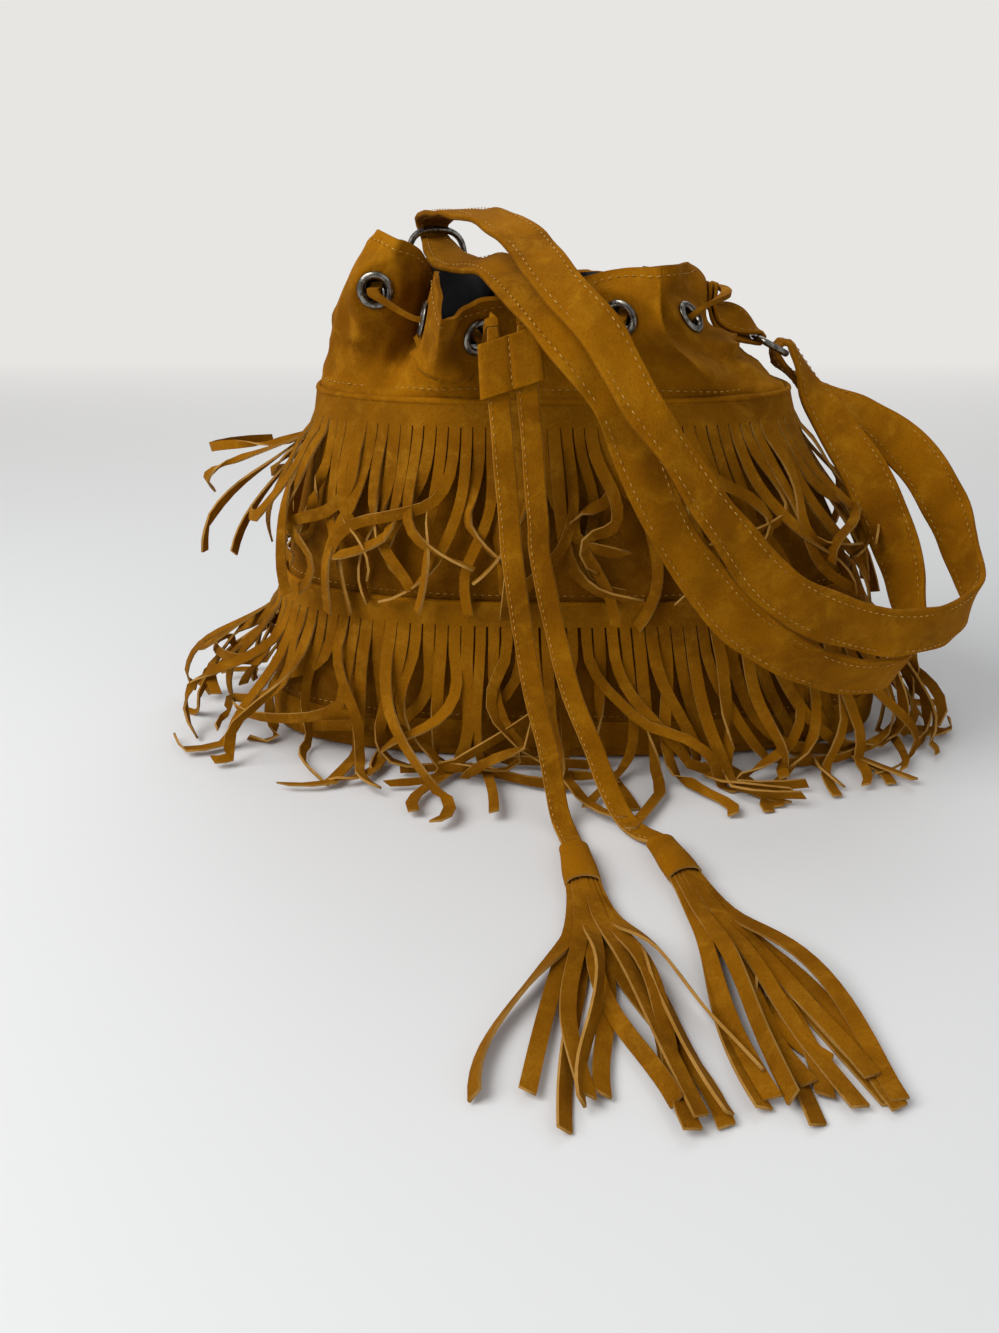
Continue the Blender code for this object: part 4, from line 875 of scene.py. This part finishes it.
tassels = {
    "left": {"side": -1, "start": Vector((-0.0093, -0.160, 0.0056)),
             "heading": Vector((0.09, -0.996, 0)).normalized(), "spread": 20, "seed": 31,
             "route": ((-0.030, -0.111, 0.075), (-0.0205, -0.121, 0.036), (-0.015, -0.133, 0.0085),
                       (-0.011, -0.146, 0.003))},
    "right": {"side": 1, "start": Vector((0.0330, -0.155, 0.0056)),
              "heading": Vector((0.27, -0.963, 0)).normalized(), "spread": 12, "seed": 47,
              "route": ((-0.012, -0.111, 0.075), (0.003, -0.120, 0.036), (0.0155, -0.131, 0.0085),
                        (0.024, -0.1425, 0.003))}}


def tailTop(side):
    return keeperCentre + keeperAcross * (side * loopPitch / 2) - keeperDown * (cords["keeperHeight"] / 2 + 0.004)


def buildTail(hand):
    kit = tassels[hand]
    straight = cords["travel"] + cords["keeperHeight"] + 0.006
    top = tailTop(kit["side"])
    stations = [(top, keeperFront, 0.45), (top + keeperDown * 0.005, keeperFront, 0.55),
                (top + keeperDown * 0.013, keeperFront, 0.98)]
    stations += [(top + keeperDown * straight * k / 6, keeperFront, 1.0) for k in range(1, 7)]
    for k, spot in enumerate(kit["route"]):
        stations.append((Vector(spot), keeperFront.lerp(up, (k + 1) / 5).normalized(), 1.0))
    stations.append((kit["start"], up, 1.0))
    stations.append((kit["start"] + kit["heading"] * cords["sleeve"] * 0.5, up, 1.0))
    frames = routeFrames(readRoute(stations, 0.0035))
    bm = bmesh.new()
    layRibbon(bm, frames, cords["tailWidth"] * 0.97, 6, 0.00015, -0.0001, kit["seed"])
    hand = hand.capitalize()
    tail = place(f"cordEnd{hand}", bm, [suede, cutEdge], stands=[f"drawstring_tail_{hand.lower()}"])
    thicken(tail, cords["tailThickness"], 0.0, rim=1, rounding=0.0007)
    bm = bmesh.new()
    line, faces = [], []
    for spot, across, facing, _ in frames[3:]:
        face = facing if facing.dot(keeperFront + up) > 0 else -facing
        edge = across if across.dot(keeperAcross) < 0 else -across
        line.append(spot + edge * 0.0036 + face * (cords["tailThickness"] / 2 + 0.0001))
        faces.append(face)
    sewLine(bm, line, faces, 0.0022, 0.0036)
    sewn = place(f"cordStitches{hand}", bm, [thread])
    return tail, [spot for spot, *_ in frames], sewn


def buildTassel(hand):
    kit = tassels[hand]
    start, heading = kit["start"], kit["heading"]
    across = Vector((-heading.y, heading.x, 0.0))
    dice = random.Random(kit["seed"])
    half = cords["sleeve"]

    def rolled(u, v):                            # one and a half turns of the rolled strip
        angle = tau * 1.6 * u + 0.6
        wide = cords["sleeveWidth"] * (0.93 + 0.07 * u) * (0.86 + 0.16 * smooth(0, 0.8, v))
        high = (cords["sleeveHigh"] - 0.0005) * (0.84 + 0.16 * u) * (0.84 + 0.16 * smooth(0, 0.6, v))
        wobble = 1 + 0.04 * noise.noise(Vector((angle, v * 3, kit["seed"])))
        spot = start + heading * (half * v + 0.0015 * u) + across * math.cos(angle) * wide * wobble
        return spot + up * (math.sin(angle) * high)

    bm = bmesh.new()
    layGrid(bm, 44, 10, rolled)
    name = hand.capitalize()
    sleeve = place(f"tasselWrap{name}", bm, [suede, cutEdge])
    thicken(sleeve, cords["sleeveSuede"], 0.0, rim=1)
    bm = bmesh.new()
    count, steps = strandLook["count"], strandLook["steps"]
    for k in range(count):
        share = (k + 0.5 + dice.uniform(-0.3, 0.3)) / count * 2 - 1
        above = k % 2 == 0
        length = strandLook["length"] * dice.uniform(0.84, 1.0)
        bearing = math.radians(kit["spread"]) * share * dice.uniform(0.75, 1.12)
        sway, rate, phase = math.radians(dice.gauss(0, 16)), dice.uniform(0.5, 1.1), dice.uniform(0, tau)
        twist, twistAt = math.radians(dice.gauss(0, 30) * (2.6 if dice.random() < 0.3 else 1)), dice.uniform(0.1, 0.5)
        hump = dice.uniform(0.0, 0.008) if dice.random() < 0.5 else 0.0
        spot = start + heading * (half - 0.004) + across * (share * cords["sleeveWidth"] * 0.82)
        level = cords["sleeveHigh"] + (0.0022 if above else -0.0020) * (1 - abs(share))
        rest = 0.0010 + (0.0024 if above else 0.0) + 0.0008 * (k % 3)
        route = []
        for step in range(steps + 1):
            t = step / steps
            turn = bearing * smooth(0, 0.35, t) * 1.15 + sway * t * math.sin(phase + tau * rate * t)
            way = heading * math.cos(turn) + across * math.sin(turn)
            roll = twist * smooth(twistAt, twistAt + 0.35, t)
            side = Vector((-way.y, way.x, 0.0))
            lay = side * math.cos(roll) + up * math.sin(roll)
            high = rest + (level - rest) * smooth(0.28, 0.0, t) + hump * math.sin(math.pi * smooth(0.15, 0.8, t))
            high += abs(math.sin(roll)) * 0.0032
            route.append((Vector((spot.x, spot.y, high)), lay))
            spot = spot + way * (length / steps)
        cut = dice.uniform(-0.4, 0.4)

        def where(u, v, route=route, cut=cut):
            point, lay = route[round(v * steps)]
            wide = (u - 0.5) * strandLook["width"] * (0.55 + 0.45 * smooth(0, 0.22, v))
            slant = (route[-1][0] - route[-2][0]).normalized() * (wide * cut) if v > 0.999 else Vector()
            return point + lay * wide + slant

        layGrid(bm, 2, steps, where)
    strands = place(f"tasselStrands{name}", bm, [fringeSuede, cutEdge], stands=[f"tassel_{hand}"])
    thicken(strands, strandLook["thickness"], 0.0, rim=1)
    return sleeve, strands


for hand in ("left", "right"):
    tail, path, sewn = buildTail(hand)
    sleeve, strands = buildTassel(hand)
    length = sum((b - a).length for a, b in zip(path, path[1:]))
    tuple(path[0])
    [tuple(spot) for spot in path]
    print("cord end", hand, round(length, 4))


def buildKeeper():
    halfWall = cords["keeperWall"] / 2
    high = cords["keeperHeight"]
    bm = bmesh.new()
    for side in (-1, 1):
        def where(u, v, side=side):
            angle = tau * u
            c, s = math.cos(angle), math.sin(angle)
            x = math.copysign(abs(c) ** keeperLook["square"], c) * (slotWidth / 2 + halfWall)
            y = math.copysign(abs(s) ** keeperLook["square"], s) * (slotDepth / 2 + halfWall)
            inner = smooth(0.6, 1.0, -c * side)
            y *= 1 - keeperLook["pinch"] * inner
            bulge = 1 + keeperLook["flare"] * v * v      # the lower edge stands open
            apart = keeperLook["apart"] * side * v * (1 - inner)
            aside = side * loopPitch / 2 + x + apart
            return (keeperCentre + keeperAcross * aside + keeperFront * (y * bulge)
                    + keeperDown * ((v - 0.5) * high - keeperLook["slant"] * aside))     # higher at the right

        layGrid(bm, 40, 12, where)
    closeUp(bm)
    keeper = place("keeperLoops", bm, [suede, foldedEdge], body="keeper", stands=["cord_keeper"])
    thicken(keeper, cords["keeperWall"], 0.0, rim=1, rounding=0.0005)
    bm = bmesh.new()
    for face in (keeperFront, -keeperFront):
        line = [keeperCentre + face * (slotDepth / 2 + 0.0011) + keeperDown * ((k / 8 - 0.5) * high * 0.94)
                for k in range(9)]
        sewLine(bm, line, [face] * 9, 0.0022, 0.0032)
    place("keeperStitches", bm, [thread], body="keeper")


def eyeletSide(n, reach):
    centre, normal = eyeletPlaces[n]
    return centre + normal * reach


def buildLace():
    end, bore, stations = cords["keeperHeight"] / 2 + 0.004 + gap, 0.0075, []
    leftEnd, rightEnd = (keeperCentre + keeperAcross * (s * loopPitch / 2) - keeperDown * end for s in (-1, 1))
    tilt = (keeperFront + up).normalized()
    stations += [(leftEnd, keeperFront, 1.0), (leftEnd - keeperDown * 0.003, keeperFront, 1.0)]
    stations.append(((leftEnd - keeperDown * 0.003).lerp(eyeletSide(0, bore), 0.4) + up * 0.002, tilt, 1.0))
    for n in range(8):
        normal = eyeletPlaces[n][1]
        outside, inside = eyeletSide(n, bore), eyeletSide(n, -bore - wall["suede"])
        order = (inside, outside) if n % 2 else (outside, inside)
        facing = normal.cross(up).normalized().cross(normal)
        stations += [(order[0], facing, 1.0), (order[0].lerp(order[1], 0.5), facing, 1.0), (order[1], facing, 1.0)]
        if n == 5:
            stations += [(rawCollar(u, 1.0) + rawNormal(u, 1.0) * (bore + 0.0065), up, 1.0)
                         for u in (16.0, 16.6, 17.4)]
    stations.append(((rightEnd - keeperDown * 0.003).lerp(eyeletSide(7, bore), 0.25), tilt, 1.0))
    stations += [(rightEnd - keeperDown * 0.003, keeperFront, 1.0), (rightEnd, keeperFront, 1.0)]
    bm = bmesh.new()
    layRibbon(bm, routeFrames(readRoute(stations, 0.0022)), cords["laceWidth"], 4, 0.0003, -0.0002, 5.0)
    print("lace length", round(sum((b[0] - a[0]).length for a, b in zip(stations, stations[1:])), 3))
    lace = place("mouthLace", bm, [suede, foldedEdge], stands=["drawstring"])
    thicken(lace, cords["laceThickness"], 0.0, rim=1, rounding=0.0006)


buildKeeper()
buildLace()
print("cords laid")

# rings, their tabs and the long strap
straps = {"width": 0.025, "thickness": 0.0026, "ringHalf": 0.0155, "ringDeep": 0.018, "wire": 0.00175, "tab": 0.0018,
          "seat": 0.014, "atRing": 0.64, "clear": 0.0024, "stitchIn": 0.0031, "corner": 0.0035, "bow": 0.75,
          "step": 0.004, "turnSteps": 26, "wave": 0.0022}
ringPlaces = {
    "left": (Vector((-0.0787, 0.01883, 0.2595)), Vector((-0.93578, -0.35258, 0)), Vector((-0.0267, 0.0709, 0.9971))),
    "right": (Vector((0.09495, 0.00549, 0.224)), Vector((0.05716, 0.99836, 0)), Vector((0.8874, -0.0508, -0.4582)))}
ringPlaces = {hand: (bar, along, out, along.cross(out).normalized())
              for hand, (bar, along, out) in ringPlaces.items()}
sewnShares = {"left": (-0.25, 0.75), "right": (0.85, -0.05)}


def buildRing(hand):
    bar, along, out, normal = ringPlaces[hand]
    corner, wide, line = straps["corner"], straps["ringHalf"], []
    line += [(share * (wide - corner), 0.0) for share in (-1.0, -0.5, 0.0, 0.5, 1.0)]
    line.append((wide - corner * 0.3, corner * 0.3))
    for k in range(25):
        angle = math.pi * k / 24
        across, deep = math.cos(angle), abs(math.sin(angle)) ** straps["bow"]
        line.append((wide * math.copysign(abs(across) ** straps["bow"], across),
                     corner + (straps["ringDeep"] - corner) * deep))
    line.append((-wide + corner * 0.3, corner * 0.3))
    spots = [bar + along * x + out * y for x, y in line]
    count = len(spots)
    ways = [(spots[(i + 1) % count] - spots[i - 1]).normalized() for i in range(count)]

    def where(u, v):
        i = round(u * count) % count
        angle = tau * v
        return spots[i] + (ways[i].cross(normal) * math.cos(angle) + normal * math.sin(angle)) * straps["wire"]

    bm = bmesh.new()
    layGrid(bm, count, 14, where)
    name = hand.capitalize()
    place(f"dRing{name}", bm, [nickel], body=f"{hand}_ring", stands=[f"ring_{hand}"], merge=0.00002,
          outward=Vector((0, 0, 1)))


def buildTab(hand):
    bar, along, out, _ = ringPlaces[hand]
    seat, normal = tabPlaces[hand]
    thick = straps["tab"]
    loop = straps["wire"] + gap + thick / 2 + 0.0002
    inner = seat + normal * (thick / 2 + 4 * gap)
    outer = inner + normal * (thick + 4 * gap)
    rise = (up - normal * normal.z).normalized()
    far = (bar - seat).normalized()
    side = along.cross(far).normalized()
    side = side if side.dot(normal) > 0 else -side
    foot, head = (rise * straps["seat"] * share for share in sewnShares[hand])
    mid = (side + Vector((0, -1.1, 0.1)) * (hand == "right")).normalized()    # the right tab twists towards the front
    sewn = [[(spot + foot, normal * way, 1.0), (spot + (foot + head) / 2, normal * way, 1.0),
             (spot + head, normal * way, 1.0), ((spot + head).lerp(bar + side * loop * way, 0.5), mid * way, 1.0)]
            for spot, way in ((inner, -1), (outer, 1))]
    stations = list(sewn[0])
    for k in range(5):
        angle = math.pi * k / 4
        facing = far * math.sin(angle) - side * math.cos(angle)
        stations.append((bar + facing * loop, facing, 1.0))
    stations += sewn[1][::-1]
    frames = routeFrames(readRoute(stations, 0.0018))
    bm = bmesh.new()
    layRibbon(bm, frames, mouth["tab"], 8, 0.0, 0.0)
    name = hand.capitalize()
    tab = place(f"ringTab{name}", bm, [suede, foldedEdge], stands=[f"ring_tab_{hand}"])
    thicken(tab, thick, 0.0, rim=1, rounding=0.0005)
    bm = bmesh.new()
    outerHalf = frames[len(frames) // 2 + 4:]
    for edge in (-1, 1):
        line = [spot + across * (edge * (mouth["tab"] / 2 - 0.0025)) + facing * (thick / 2 + 0.0001)
                for spot, across, facing, _ in outerHalf]
        sewLine(bm, line, [facing for _, _, facing, _ in outerHalf])
    place(f"tabStitches{name}", bm, [thread])


def bowWrap(hand):
    bar, _, out, normal = ringPlaces[hand]
    radius = straps["wire"] + gap + straps["thickness"] / 2 + straps["clear"]
    bow = bar + out * straps["ringDeep"]
    return [(bow + way * radius, way, straps["atRing"]) for way in (normal, -out, -normal)]


def strapStations():
    found = bowWrap("right")[::-1]
    front = ((0.1239, 0.013, 0.199, -0.35, 0.35, -0.87, 0.9), (0.1559, 0.008, 0.1837, -0.1, 0.6, -0.8, 1),
             (0.1804, 0.0, 0.1679, 0.25, 0.8, -0.55, 1), (0.1964, -0.012, 0.1491, 0.5, 0.85, -0.2, 1),
             (0.207, -0.032, 0.124, 0.9, 0.55, -0.05, 1), (0.206, -0.066, 0.1, 0.95, -0.2, -0.1, 1),
             (0.174, -0.098, 0.094, 0.4, -0.9, -0.05, 1), (0.1334, -0.113, 0.1, 0.1, -0.98, -0.05, 1),
             (0.0858, -0.127, 0.1243, 0.06, -0.99, 0.1, 0.92), (0.0529, -0.133, 0.161, 0.3, -0.93, 0.2, 0.76),
             (0.031, -0.134, 0.19, 0.36, -0.9, 0.26, 0.68), (0.0146, -0.132, 0.2121, 0.2, -0.9, 0.36, 0.74),
             (-0.0026, -0.122, 0.2395, 0, -0.8, 0.58, 0.82), (-0.019, -0.106, 0.2564, -0.08, -0.62, 0.77, 0.84),
             (-0.0357, -0.07, 0.2757, -0.05, -0.35, 0.93, 0.9), (-0.056, -0.03, 0.285, 0, -0.12, 0.99, 1))
    rear = ((-0.072, -0.006, 0.2655, 0, 0.15, -0.99, 0.9), (-0.064, -0.026, 0.262, 0.05, 0.2, -0.98, 1),
            (-0.044, -0.06, 0.262, 0.1, 0.38, -0.92, 1), (-0.019, -0.11, 0.241, 0.1, 0.75, -0.65, 1),
            (0.006, -0.118, 0.2126, 0.1, 0.93, -0.35, 1), (0.018, -0.117, 0.184, 0.1, 0.97, -0.2, 0.9),
            (0.032, -0.115, 0.155, 0.1, 0.98, -0.15, 0.84), (0.049, -0.112, 0.129, 0.08, 0.98, -0.15, 0.88),
            (0.078, -0.11, 0.098, 0.05, 0.97, 0.2, 1), (0.12, -0.106, 0.074, -0.05, 0.9, 0.42, 1),
            (0.156, -0.093, 0.067, -0.3, 0.85, 0.4, 1), (0.177, -0.069, 0.074, -0.75, 0.4, 0.5, 1),
            (0.177, -0.05, 0.098, -0.85, -0.35, 0.2, 1), (0.167, -0.04, 0.128, -0.5, -0.8, 0.2, 1),
            (0.151, -0.026, 0.16, -0.1, -0.85, 0.5, 1), (0.129, -0.004, 0.193, 0.25, -0.62, 0.74, 0.9))
    found += [(Vector(row[:3]), Vector(row[3:6]).normalized(), row[6]) for row in front]
    bar, _, out, normal = ringPlaces["left"]
    reach = straps["wire"] + gap + straps["thickness"] / 2 + 1.5 * straps["clear"]
    over = bar + out * straps["ringDeep"] + (out * 0.94 - normal * 0.34) * reach
    found.append((over, (out - normal * 0.2).normalized(), 0.85))
    found += bowWrap("left")[:2]
    found += [(Vector(row[:3]), Vector(row[3:6]).normalized(), row[6]) for row in rear]
    return found


def buildStrap():
    route = readRoute(strapStations(), straps["step"], closed=True)
    frames = routeFrames(route, closed=True)[:-1]
    count = len(frames)
    leftBow, rightBow = (ringPlaces[h][0] + ringPlaces[h][2] * straps["ringDeep"] for h in ("left", "right"))

    def nearest(bow):
        return min(range(count), key=lambda i: (frames[i][0] - bow).length)

    # four lengths of the one loop, cut where it rests on the bag alone
    left, right, reach = nearest(leftBow), nearest(rightBow), straps["turnSteps"]
    cuts = [(right - reach) % count, (right + reach) % count, (left - reach) % count, (left + reach) % count]
    print("strap steps", count, "left", left, "right", right, "cuts", cuts)
    spans = {"strapRightTurn": (cuts[0], cuts[1]), "strapOuterRun": (cuts[1], cuts[2]),
             "strapLeftTurn": (cuts[2], cuts[3]), "strapInnerRun": (cuts[3], cuts[0])}
    thick, total = straps["thickness"], 0.0
    for name, (first, last) in spans.items():
        steps = (last - first) % count
        whole = [frames[(first + k) % count] for k in range(-1, steps + 2)]
        part = whole[1:-1]
        total += sum((b[0] - a[0]).length for a, b in zip(part, part[1:]))
        bm = bmesh.new()
        body = None if "Turn" in name else "bag"
        # the runs' ends lie in the turns
        layRibbon(bm, whole if body else part, straps["width"], 8, straps["wave"], 0.0, 2.0)
        piece = place(name, bm, [suede, foldedEdge], body, stands=["shoulder_strap"] if body else ())
        thicken(piece, thick, 0.0, rim=1, rounding=0.0008)
        bm = bmesh.new()
        for face in (-1, 1):
            for edge in (-1, 1):
                line = [spot + across * edge * (straps["width"] / 2 * share - straps["stitchIn"])
                        + facing * face * (thick / 2 + 0.0003) for spot, across, facing, share in part]
                sewLine(bm, line, [facing * face for _, _, facing, _ in part])
        sewn = place(name + "Stitches", bm, [thread], body)
        if name == "strapLeftTurn":              # the turns' placements are baked into their meshes
            for item in (piece, sewn):
                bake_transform(item)
        if name == "strapRightTurn":
            for item in (piece, sewn):
                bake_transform(item)
    print("strap loop", round(total, 3))


for hand in ("left", "right"):
    buildRing(hand)
    buildTab(hand)
buildStrap()
print("strap threaded")
